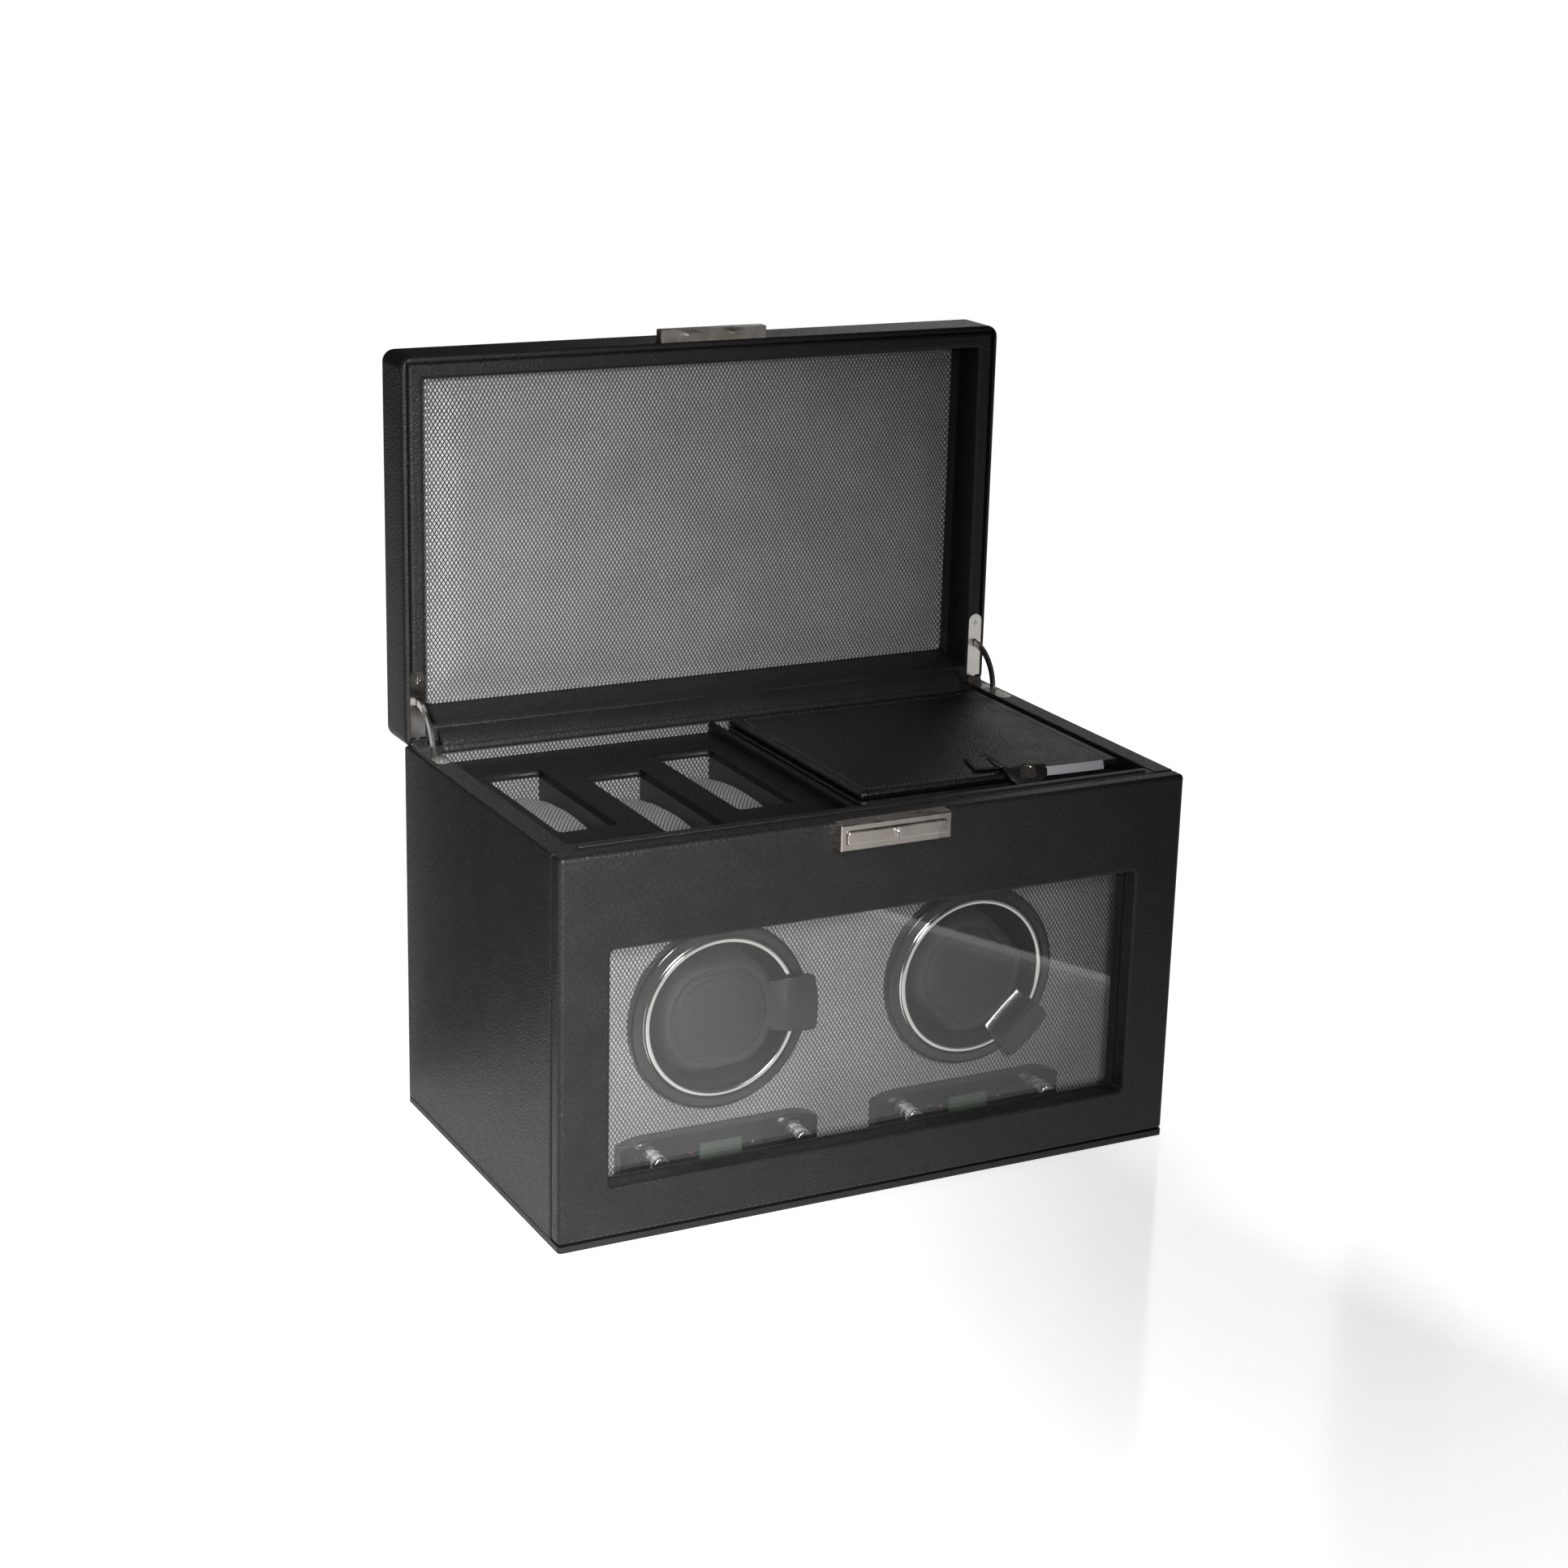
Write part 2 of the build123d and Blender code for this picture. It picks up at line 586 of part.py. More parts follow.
# ---- Door
def door_panel():
    panel = block((-HALF_W, HALF_W), (FRONT_Y, DOOR_BACK_Y), (DOOR_BOTTOM_Z, DOOR_TOP_Z))
    panel = fillet(panel.edges().filter_by(Axis.Y), EDGE_R)
    panel = fillet(panel.faces().sort_by(Axis.Y)[0].edges(), DOOR_EDGE_R)
    panel = fillet(panel.faces().sort_by(Axis.Y)[-1].edges(), DOOR_BACK_R)
    window = block((-WINDOW_HALF_W, WINDOW_HALF_W), (FRONT_Y - 1, DOOR_BACK_Y + 1), WINDOW_Z)
    panel -= fillet(window.edges().filter_by(Axis.Y), WINDOW_CORNER_R)
    return fillet(panel.faces().sort_by(Axis.Y)[0].inner_wires()[0].edges(), WINDOW_EDGE_R)


def door_glass():
    x = WINDOW_HALF_W + GLASS_LAP
    z = (WINDOW_Z[0] - GLASS_LAP, WINDOW_Z[1] + GLASS_LAP_TOP)
    return block((-x, x), (DOOR_BACK_Y, DOOR_BACK_Y + GLASS_T), z)


def glass_retainer():
    x = WINDOW_HALF_W + GLASS_LAP + RETAINER_LAP
    z = (WINDOW_Z[0] - GLASS_LAP - RETAINER_LAP, WINDOW_Z[1] + GLASS_LAP_TOP + RETAINER_LAP_TOP)
    frame = block((-x, x), (DOOR_BACK_Y, DOOR_BACK_Y + RETAINER_T), z)
    opening = block((-WINDOW_HALF_W, WINDOW_HALF_W), (DOOR_BACK_Y - 1, DOOR_BACK_Y + RETAINER_T + 1), WINDOW_Z)
    return frame - opening - door_glass()


def lock_body():
    y = (FRONT_Y - LOCK_PROUD, FRONT_Y)
    body = block((-LOCK_HALF_W, LOCK_HALF_W), y, LOCK_Z)
    body = chamfer(body.faces().sort_by(Axis.Y)[0].edges(), 0.5)
    z_mid = (LOCK_Z[0] + LOCK_Z[1]) / 2
    pocket_z = (z_mid - BUTTON_HALF_H - 0.3, z_mid + BUTTON_HALF_H + 0.3)
    pocket = block((-BUTTON_HALF_W - 0.3, BUTTON_HALF_W + 0.3), (y[0] - 1, y[0] + 3.0), pocket_z)
    body -= fillet(pocket.edges().filter_by(Axis.Y), 1.8)
    for x in (-HOOK_X, HOOK_X):
        body -= block((x - 5, x + 5), (HOOK_Y - 1.1, HOOK_Y + 1.1), (z_mid - 1.0, LOCK_Z[1] + 1))
    return body


def lock_button():
    z_mid = (LOCK_Z[0] + LOCK_Z[1]) / 2
    front = FRONT_Y - LOCK_PROUD - 1.2
    span_z = (z_mid - BUTTON_HALF_H, z_mid + BUTTON_HALF_H)
    bar = block((-BUTTON_HALF_W, BUTTON_HALF_W), (front, front + 2.5), span_z)
    bar = fillet(bar.edges().filter_by(Axis.Y), 1.5)
    bar = fillet(bar.faces().sort_by(Axis.Y)[0].edges(), 0.6)
    return bar - rod_y(KEY_R + 0.08, 0, (front - 1, front + 4), z_mid)


def key_cylinder():
    z_mid = (LOCK_Z[0] + LOCK_Z[1]) / 2
    front = FRONT_Y - LOCK_PROUD - 1.5
    barrel = rod_y(KEY_R, 0, (front, front + 2.8), z_mid)
    keyway = block((-0.45, 0.45), (front - 1, front + 1.6), (z_mid - 1.8, z_mid + 1.4))
    keyway += rod_y(0.9, 0, (front - 1, front + 1.6), z_mid + 1.0)
    return barrel - keyway


# ---- Winder stations
def chamber_fascia():
    fascia = block((-INNER_X, INNER_X), FASCIA_Y, (FLOOR_Z, DECK_Z[0]))
    for side in SIDES.values():
        fascia -= rod_y(BEZEL_R - 2.5, side * STATION_X, (FASCIA_Y[0] - 1, FASCIA_Y[1] + 1), DRUM_Z)
    return fascia


def bezel(side):
    x = side * STATION_X
    flange = rod_y(BEZEL_R, x, (BEZEL_FRONT_Y, FASCIA_Y[0]), DRUM_Z)
    flange = fillet(flange.faces().sort_by(Axis.Y)[0].edges(), 2.2)
    collar = rod_y(BEZEL_R - 2.5, x, (FASCIA_Y[0], FASCIA_Y[1] + 3), DRUM_Z)
    return flange + collar - rod_y(BEZEL_BORE_R, x, (-70, -40), DRUM_Z)


def drum_ring(name):
    y = (BEZEL_FRONT_Y - 0.6, BEZEL_FRONT_Y + 2.5)
    ring = rod_y(RING_R, 0, y, 0) - rod_y(RING_BORE_R, 0, (y[0] - 1, y[1] + 1), 0)
    return turned(fillet(ring.faces().sort_by(Axis.Y)[0].edges(), 0.8), name)


def drum_cup(name):
    """The drum, moulded in one with its rear axle and belt pulley."""
    y = (BEZEL_FRONT_Y + 2.5, DRUM_BACK_Y)
    cup = rod_y(DRUM_R, 0, y, 0) - rod_y(DRUM_BORE_R, 0, (y[0] - 1, DRUM_BACK_Y - 3), 0)
    axle = rod_y(AXLE_R, 0, (DRUM_BACK_Y, BRACKET_Y[1] + 4), 0)
    return turned(cup + axle + pulley(DRUM_GROOVE_R, 1.5, 0, 0), name)


def cuff_core():
    core = prism_y(flat_oval(CUFF_R, CUFF_HALF_H), (CUFF_FRONT_Y, DRUM_BACK_Y - 3))
    return fillet(core.faces().sort_by(Axis.Y)[0].edges(), 3.0)


def cuff(name):
    return turned(cuff_core(), name)


def cuff_tab(name):
    """The finger tab: it runs forward along the cuff's side, then outwards over the ring and bezel."""
    z = (-14.0, 8.5)
    leg = block((28, 33.8), (-68.8, -36), z)
    toe = block((28, 45.5), (-68.8, -66.2), z)
    toe = fillet(toe.edges().filter_by(Axis.Y).group_by(Axis.X)[-1], 4.0)
    return turned(leg + toe - cuff_core(), name)


def pulley(groove_r, flange, x, z):
    wheel = rod_y(groove_r + flange, x, (0.8, 5.2), z)
    groove = rod_y(groove_r + flange + 1, x, (1.8, 4.2), z) - rod_y(groove_r, x, (1.8, 4.2), z)
    return wheel - groove


def motor_x(side):
    return side * STATION_X + MOTOR_DX


def motor_pulley(side):
    x = motor_x(side)
    return pulley(MOTOR_GROOVE_R, 1.5, x, MOTOR_Z) + rod_y(1.5, x, (0.8, BRACKET_Y[1] - 0.2), MOTOR_Z)


def drive_belt(side):
    offset = Pos(MOTOR_DX, MOTOR_Z - DRUM_Z)

    def loop(grow):
        big = Circle(DRUM_GROOVE_R + grow)
        small = offset * Circle(MOTOR_GROOVE_R + grow)
        return make_hull(big.edges() + small.edges())

    band = loop(BELT_GAP + BELT_T) - loop(BELT_GAP)
    return Pos(side * STATION_X, 0, DRUM_Z) * prism_y(band, (2.0, 4.0))


def motor_bracket(side):
    x = side * STATION_X
    plate = block((x - 22, x + 42), BRACKET_Y, (FLOOR_Z, DRUM_Z + 14))
    plate = fillet(plate.edges().filter_by(Axis.Y).group_by(Axis.Z)[-1], 8)
    foot = block((x - 22, x + 42), (BRACKET_Y[1], 26), (FLOOR_Z, FLOOR_Z + 3))
    bearing = rod_y(AXLE_R + 0.06, x, (0, 12), DRUM_Z)
    shaft_hole = rod_y(1.9, motor_x(side), (0, 12), MOTOR_Z)
    return plate + foot - bearing - shaft_hole


def motor(side):
    x = motor_x(side)
    gearbox = rod_y(14.0, x, (BRACKET_Y[1], BRACKET_Y[1] + 9), MOTOR_Z)
    can = rod_y(11.0, x, (BRACKET_Y[1] + 9, BRACKET_Y[1] + 32), MOTOR_Z)
    return gearbox + can


# ---- Control panels
def panel_outline():
    low, high = PANEL_Z
    shoulder = PANEL_HALF_W - 16
    outline = Polyline((-shoulder, high), (shoulder, high))
    outline += ThreePointArc((shoulder, high), (PANEL_HALF_W - 6, high - 1.0), (PANEL_HALF_W, high - 3.2))
    outline += Polyline((PANEL_HALF_W, high - 3.2), (PANEL_HALF_W, low), (-PANEL_HALF_W, low), (-PANEL_HALF_W, high - 3.2))
    outline += ThreePointArc((-PANEL_HALF_W, high - 3.2), (6 - PANEL_HALF_W, high - 1.0), (-shoulder, high))
    return make_face(outline)


def control_panel(side):
    """A shell that is open at the back, where its circuit board sits."""
    shell = prism_y(panel_outline(), (PANEL_FRONT_Y, FASCIA_Y[0]))
    shell = fillet(shell.faces().sort_by(Axis.Y)[0].edges(), 0.8)
    shell -= block((-49.5, 49.5), (PANEL_FRONT_Y + 1.8, FASCIA_Y[0] + 1), (16.2, 28.2))
    for x in (-KNOB_X, KNOB_X):
        shell -= rod_y(2.3, x, (-70, -60), KNOB_Z)
    for x in (-KEYPAD_X, KEYPAD_X):
        shell -= rod_y(KEYPAD_R + 0.3, x, (-70, -60), KEYPAD_Z)
    shell -= display_window()
    return Pos(side * STATION_X, 0, 0) * shell


def display_window():
    return block((-DISPLAY_HALF_W, DISPLAY_HALF_W), (PANEL_FRONT_Y - 1, PANEL_FRONT_Y + 1.8), DISPLAY_Z)


def display(side):
    pane = block((-DISPLAY_HALF_W, DISPLAY_HALF_W), (PANEL_FRONT_Y + 0.3, PANEL_FRONT_Y + 1.8), DISPLAY_Z)
    return Pos(side * STATION_X, 0, 0) * pane


def knob(x):
    grip = rod_y(KNOB_R, x, (KNOB_FRONT_Y, PANEL_FRONT_Y - 0.4), KNOB_Z)
    grip = fillet(grip.faces().sort_by(Axis.Y)[0].edges(), 1.4)
    ring = rod_y(KNOB_R + 1, x, (KNOB_FRONT_Y + 3.4, KNOB_FRONT_Y + 4.4), KNOB_Z)
    ring -= rod_y(KNOB_R - 0.6, x, (KNOB_FRONT_Y + 3, KNOB_FRONT_Y + 5), KNOB_Z)
    return grip - ring + rod_y(2.0, x, (PANEL_FRONT_Y - 0.4, STEM_BACK_Y), KNOB_Z)


def keypad_button(x):
    cap = rod_y(KEYPAD_R, x, (PANEL_FRONT_Y - 1.0, STEM_BACK_Y - 1.0), KEYPAD_Z)
    return fillet(cap.faces().sort_by(Axis.Y)[0].edges(), 0.5)


# ---- Nodes
def carcass_nodes():
    cards = [card for x, y in zip(SLOT_X, SLOT_Y) for card in tray_well(x, y)]
    nodes = {
        "base_panel": base_panel(),
        "left_wall": side_wall(SIDES["left"]),
        "right_wall": side_wall(SIDES["right"]),
        "rear_wall": rear_wall(),
        "power_jack": power_jack(),
        "storage_deck": storage_deck(),
        "storage_front_wall": storage_front_wall(),
        "tray_divider": tray_divider(),
        "watch_tray": watch_tray(),
        "storage_linings": Compound(cards + [rear_lining()]),
        "door_hinge_strap": door_hinge_strap(),
        "chamber_fascia": chamber_fascia(),
    }
    for number, (x, y) in enumerate(zip(SLOT_X, SLOT_Y), start=1):
        nodes[f"tray_cushion_{number}"] = tray_cushion(x, y)
    return nodes


def hinge_nodes():
    box_screws = [solid - cross for solid, cross in map(box_screw, SIDES.values())]
    lid_screws = [solid - cross for solid, cross in map(lid_screw, SIDES.values())]
    return {
        "box_hinge_leaves": pair(box_hinge_leaf),
        "box_hinge_screws": Compound(box_screws),
        "hinge_pins": pair(hinge_pin),
        "stay_arms": pair(stay_arm),
        "lid_hinge_leaves": pair(lid_hinge_leaf),
        "lid_hinge_screws": Compound(lid_screws),
    }


def lid_nodes():
    return {
        "lid_shell": lid_shell(),
        "lid_pad": lid_pad(),
        "lid_gusset": lid_gusset(),
        "lid_catch": lid_catch(),
    }


def door_nodes():
    return {
        "door_panel": door_panel(),
        "door_glass": door_glass(),
        "glass_retainer": glass_retainer(),
        "lock_body": lock_body(),
        "lock_button": lock_button(),
        "key_cylinder": key_cylinder(),
    }


def case_nodes():
    return {
        "case_base": case_base(),
        "case_lid": case_lid(),
        "case_strap": case_strap(),
        "case_snap": case_snap(),
        "case_ribbon": case_ribbon(),
    }


def station_nodes():
    nodes = {
        "bezels": pair(bezel),
        "motor_brackets": pair(motor_bracket),
        "motors": pair(motor),
        "drive_belts": pair(drive_belt),
        "control_panels": pair(control_panel),
        "displays": pair(display),
    }
    for name, side in SIDES.items():
        nodes[f"motor_pulley_{name}"] = motor_pulley(side)
        nodes[f"drum_cup_{name}"] = drum_cup(name)
        nodes[f"drum_ring_{name}"] = drum_ring(name)
        nodes[f"cuff_{name}"] = cuff(name)
        nodes[f"cuff_tab_{name}"] = cuff_tab(name)
        for place, turn in (("a", -1), ("b", 1)):
            nodes[f"knob_{name}_{place}"] = knob(side * STATION_X + turn * KNOB_X)
            nodes[f"button_{name}_{place}"] = keypad_button(side * STATION_X + turn * KEYPAD_X)
    return nodes


def pair(make):
    """The left and right copies of a piece, as one node."""
    return Compound([make(side) for side in SIDES.values()])


def all_nodes():
    nodes = {}
    for group in (carcass_nodes, hinge_nodes, lid_nodes, door_nodes, case_nodes, station_nodes):
        nodes.update(group())
    return nodes


os.makedirs("parts", exist_ok=True)
for node_name, shape in all_nodes().items():
    export_step(shape, f"parts/{node_name}.step")
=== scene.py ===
"""The looks of a watch winder box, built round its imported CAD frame. Metres, +Z up, -Y the front."""

import json
import math

import bmesh
import bpy
import numpy as np
from mathutils import Matrix, Vector, noise

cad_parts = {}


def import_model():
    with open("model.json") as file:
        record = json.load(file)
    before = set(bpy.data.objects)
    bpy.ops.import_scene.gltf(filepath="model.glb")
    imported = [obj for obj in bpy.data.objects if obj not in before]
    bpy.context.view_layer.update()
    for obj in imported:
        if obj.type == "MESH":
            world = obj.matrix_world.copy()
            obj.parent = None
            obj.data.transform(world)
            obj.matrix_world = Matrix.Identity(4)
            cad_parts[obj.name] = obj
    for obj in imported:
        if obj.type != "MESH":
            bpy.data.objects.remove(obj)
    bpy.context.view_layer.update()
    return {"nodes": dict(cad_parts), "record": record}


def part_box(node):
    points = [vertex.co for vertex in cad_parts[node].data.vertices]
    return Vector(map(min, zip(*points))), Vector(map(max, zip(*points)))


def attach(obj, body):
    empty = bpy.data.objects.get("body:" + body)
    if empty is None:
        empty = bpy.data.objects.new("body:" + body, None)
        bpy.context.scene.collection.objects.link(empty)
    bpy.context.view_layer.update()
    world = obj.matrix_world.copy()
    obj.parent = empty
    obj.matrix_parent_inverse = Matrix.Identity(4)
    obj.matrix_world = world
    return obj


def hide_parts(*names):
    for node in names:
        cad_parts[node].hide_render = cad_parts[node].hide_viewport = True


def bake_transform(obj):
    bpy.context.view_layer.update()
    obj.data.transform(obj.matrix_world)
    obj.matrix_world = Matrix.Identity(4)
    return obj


MM = 0.001
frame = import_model()

SIDES = {"left": -1, "right": 1}
TAB_TURN = {"left": math.radians(-3.0), "right": math.radians(47.0)}
CUFF_R = 31.0 * MM
CUFF_HALF_HEIGHT = 28.0 * MM


# ---- Materials
class Tree:
    """One material's node tree, with short calls for its nodes."""

    def __init__(self, name):
        self.material = bpy.data.materials.new(name)
        self.material.use_nodes = True
        self.nodes = self.material.node_tree.nodes
        self.shader = self.nodes["Principled BSDF"]

    def put(self, socket, value):
        """Gives an input a number, a colour, or another node's output."""
        if isinstance(value, bpy.types.NodeSocket):
            self.material.node_tree.links.new(value, socket)
        else:
            socket.default_value = value

    def node(self, kind, settings=None, **inputs):
        made = self.nodes.new("ShaderNode" + kind)
        for key, value in (settings or {}).items():
            setattr(made, key, value)
        for key, value in inputs.items():
            self.put(made.inputs[key.replace("_", " ")], value)
        return made

    def math(self, operation, first, second=0.0, third=0.0):
        made = self.node("Math", {"operation": operation})
        for socket, value in zip(made.inputs, (first, second, third)):
            self.put(socket, value)
        return made.outputs[0]

    def mix(self, share, first, second):
        """From the first number to the second."""
        made = self.node("Mix")
        self.put(made.inputs[0], share)
        self.put(made.inputs[2], first)
        self.put(made.inputs[3], second)
        return made.outputs[0]

    def ramp(self, value, low, high, from_low=0.0, from_high=1.0):
        made = self.node("MapRange", {"interpolation_type": "SMOOTHSTEP"})
        for socket, number in zip(made.inputs, (value, from_low, from_high, low, high)):
            self.put(socket, number)
        return made.outputs[0]

    def tint(self, share, dark, light):
        """From one colour to another."""
        made = self.node("Mix", {"data_type": "RGBA"})
        self.put(made.inputs[0], share)
        self.put(made.inputs[6], (*dark, 1.0))
        self.put(made.inputs[7], (*light, 1.0))
        return made.outputs[2]

    def place(self):
        """Where a point is on the piece, in metres."""
        return self.node("TexCoord").outputs["Object"]

    def noise(self, scale, detail=2.0, place=None):
        made = self.node("TexNoise", Vector=place or self.place(), Scale=scale, Detail=detail)
        return made.outputs[0]

    def bump(self, height, strength, depth):
        made = self.node("Bump", Height=height, Strength=strength, Distance=depth)
        self.put(self.shader.inputs["Normal"], made.outputs[0])

    def finish(self, **inputs):
        for key, value in inputs.items():
            self.put(self.shader.inputs[key.replace("_", " ")], value)
        return self.material


def leather(name, dark, light, cell=2.0, depth=0.5, rough=(0.34, 0.50), wrinkle=0.35, shine=0.5):
    """Pebbled leather: domed cells of two sizes, wider than tall, between creases that wander."""
    tree = Tree(name)
    place = tree.node("Mapping", Vector=tree.place(), Scale=(0.84, 0.84, 1.25)).outputs[0]
    drift = tree.node("TexNoise", Vector=place, Scale=190.0, Detail=2.0).outputs[1]
    shift = tree.node("VectorMath", {"operation": "MULTIPLY_ADD"})
    for socket, value in zip(shift.inputs, (drift, (0.0022,) * 3, place)):
        tree.put(socket, value)
    moved = shift.outputs[0]
    cells = []
    for size in (cell, cell * 0.5):
        settings = {"feature": "DISTANCE_TO_EDGE"}
        made = tree.node("TexVoronoi", settings, Vector=moved, Scale=1 / (size * MM))
        cells.append(tree.ramp(made.outputs["Distance"], 0.0, 1.0, 0.0, 0.38))
    fine = tree.noise(2600.0)
    broad = tree.noise(60.0, 3.0)
    patchy = tree.ramp(broad, 0.55, 1.0, 0.3, 0.7)
    pebble = tree.math("MULTIPLY_ADD", cells[1], 0.4, tree.math("MULTIPLY", cells[0], 0.6))
    height = tree.math("MULTIPLY_ADD", fine, 0.12, tree.math("MULTIPLY", pebble, patchy))
    height = tree.math("MULTIPLY_ADD", broad, wrinkle, height)
    tree.bump(height, 1.0, depth * MM)
    # Painted shade and painted highlight: the colour is darker in the creases between the cells and lighter
    # on their domes. The broad blotches are the leather's own random tone.
    colour = tree.tint(tree.math("MULTIPLY_ADD", pebble, 0.6, tree.math("MULTIPLY", broad, 0.4)), dark, light)
    worn = tree.math("MULTIPLY_ADD", fine, 0.3, tree.math("MULTIPLY", pebble, 0.7))
    roughness = tree.ramp(worn, rough[1], rough[0])
    return tree.finish(Base_Color=colour, Roughness=roughness, Specular_IOR_Level=shine)


def diamond_mesh(name, dark, light, wide=2.07, tall=3.3, side=1.0):
    """Metallic mesh cloth: pale diamonds of yarn with a dark lattice between them. Side is a painted shade:
    it dims the colour of what faces X, as on the side walls of the wells.
    """
    tree = Tree(name)
    coordinates = tree.node("TexCoord")
    place = tree.node("SeparateXYZ", Vector=coordinates.outputs["Object"]).outputs
    facing = tree.node("SeparateXYZ", Vector=coordinates.outputs["Normal"]).outputs
    sideways = tree.math("GREATER_THAN", tree.math("ABSOLUTE", facing[0]), 0.72)
    upwards = tree.math("GREATER_THAN", tree.math("ABSOLUTE", facing[2]), 0.72)
    along = tree.math("DIVIDE", tree.mix(sideways, place[0], place[1]), wide * MM)
    up = tree.math("DIVIDE", tree.mix(upwards, place[2], place[1]), tall * MM)
    waves = []
    for operation in ("ADD", "SUBTRACT"):
        both = tree.math(operation, along, up)
        waves.append(tree.math("MULTIPLY", tree.math("PINGPONG", both, 0.5), 2.0))
    inside = tree.math("MINIMUM", waves[0], waves[1])
    yarn = tree.ramp(inside, 0.0, 1.0, 0.10, 0.42)
    fibre = tree.noise(2400.0, 3.0)
    broad = tree.noise(30.0)
    tone = tree.math("MULTIPLY", yarn, tree.ramp(fibre, 0.45, 1.0, 0.25, 0.7))
    tone = tree.math("MULTIPLY", tone, tree.ramp(broad, 0.88, 1.0, 0.3, 0.7))
    # Painted shade: faces that face X are darkened by the side share.
    tone = tree.math("MULTIPLY", tone, tree.mix(sideways, 1.0, side))
    height = tree.math("MULTIPLY_ADD", fibre, 0.3, yarn)
    tree.bump(height, 0.8, 0.0004)
    return tree.finish(
        Base_Color=tree.tint(tone, dark, light),
        Roughness=tree.ramp(yarn, 0.75, 0.42),
        Metallic=tree.math("MULTIPLY", yarn, 0.35),
        Sheen_Weight=0.1,
    )


def metal(name, colour, rough, brushed=0.0, ripple=0.0):
    """Plated metal with faint wipe marks, and brushing along X where it has any."""
    tree = Tree(name)
    smear = tree.noise(120.0, 4.0)
    stretch = tree.node("Mapping", Vector=tree.place(), Scale=(40.0, 3000.0, 3000.0)).outputs[0]
    lines = tree.noise(1.0, 3.0, stretch)
    wiped = tree.ramp(smear, rough * 0.7, rough * 1.3, 0.3, 0.7)
    roughness = tree.math("MULTIPLY_ADD", lines, brushed, wiped)
    tree.bump(tree.math("MULTIPLY_ADD", lines, brushed * 2, smear), 0.12 + ripple, 0.00006)
    return tree.finish(Base_Color=(*colour, 1.0), Metallic=1.0, Roughness=roughness)


def plastic(name, colour, rough, depth=0.1, texture=1800.0):
    """Moulded plastic with a faint texture and handling marks."""
    tree = Tree(name)
    smear = tree.noise(70.0, 4.0)
    tree.bump(tree.noise(texture), depth, 0.00008)
    light = tuple(min(1.0, c * 1.5 + 0.002) for c in colour)
    return tree.finish(
        Base_Color=tree.tint(smear, colour, light),
        Roughness=tree.ramp(smear, rough * 0.7, rough * 1.35, 0.3, 0.7),
    )


def thread(name, colour):
    """Twisted sewing thread."""
    tree = Tree(name)
    twist = tree.noise(5200.0, 1.0)
    tree.bump(twist, 0.6, 0.0001)
    shade = tree.tint(twist, tuple(c * 0.6 for c in colour), colour)
    return tree.finish(Base_Color=shade, Roughness=0.55, Sheen_Weight=0.2)


def clear_glass(name):
    """A pane that is mostly seen through, with a thin veil of dust and its own reflections."""
    tree = Tree(name)
    smear = tree.noise(18.0, 5.0)
    veil = tree.node("BsdfDiffuse", Color=(0.9, 0.9, 0.9, 1.0))
    clear = tree.node("BsdfTransparent", Color=(0.985, 0.985, 0.985, 1.0))
    gloss = tree.node("BsdfGlossy", Color=(1.0, 1.0, 1.0, 1.0), Roughness=0.02)
    slant = tree.math("POWER", tree.node("LayerWeight").outputs["Facing"], 5.0)
    mirror = tree.math("MULTIPLY_ADD", slant, 0.96, 0.04)
    dusty = tree.node("MixShader")
    tree.put(dusty.inputs[0], tree.ramp(smear, 0.004, 0.016, 0.3, 0.7))
    tree.put(dusty.inputs[1], clear.outputs[0])
    tree.put(dusty.inputs[2], veil.outputs[0])
    whole = tree.node("MixShader")
    tree.put(whole.inputs[0], mirror)
    tree.put(whole.inputs[1], dusty.outputs[0])
    tree.put(whole.inputs[2], gloss.outputs[0])
    output = tree.nodes["Material Output"]
    tree.put(output.inputs["Surface"], whole.outputs[0])
    tree.nodes.remove(tree.shader)
    return tree.material


def display_glass(name):
    """A liquid crystal display with nothing on it: dull green-grey, with a faint grain."""
    tree = Tree(name)
    grain = tree.noise(900.0, 2.0)
    tree.bump(grain, 0.05, 0.00005)
    return tree.finish(Base_Color=tree.tint(grain, (0.05, 0.066, 0.05), (0.09, 0.115, 0.09)), Roughness=0.24)


def lamp(name, colour, glow):
    tree = Tree(name)
    haze = tree.noise(1500.0, 1.0)
    return tree.finish(
        Base_Color=tree.tint(haze, tuple(c * 0.7 for c in colour), colour),
        Roughness=0.2,
        Emission_Color=(*colour, 1.0),
        Emission_Strength=glow,
    )


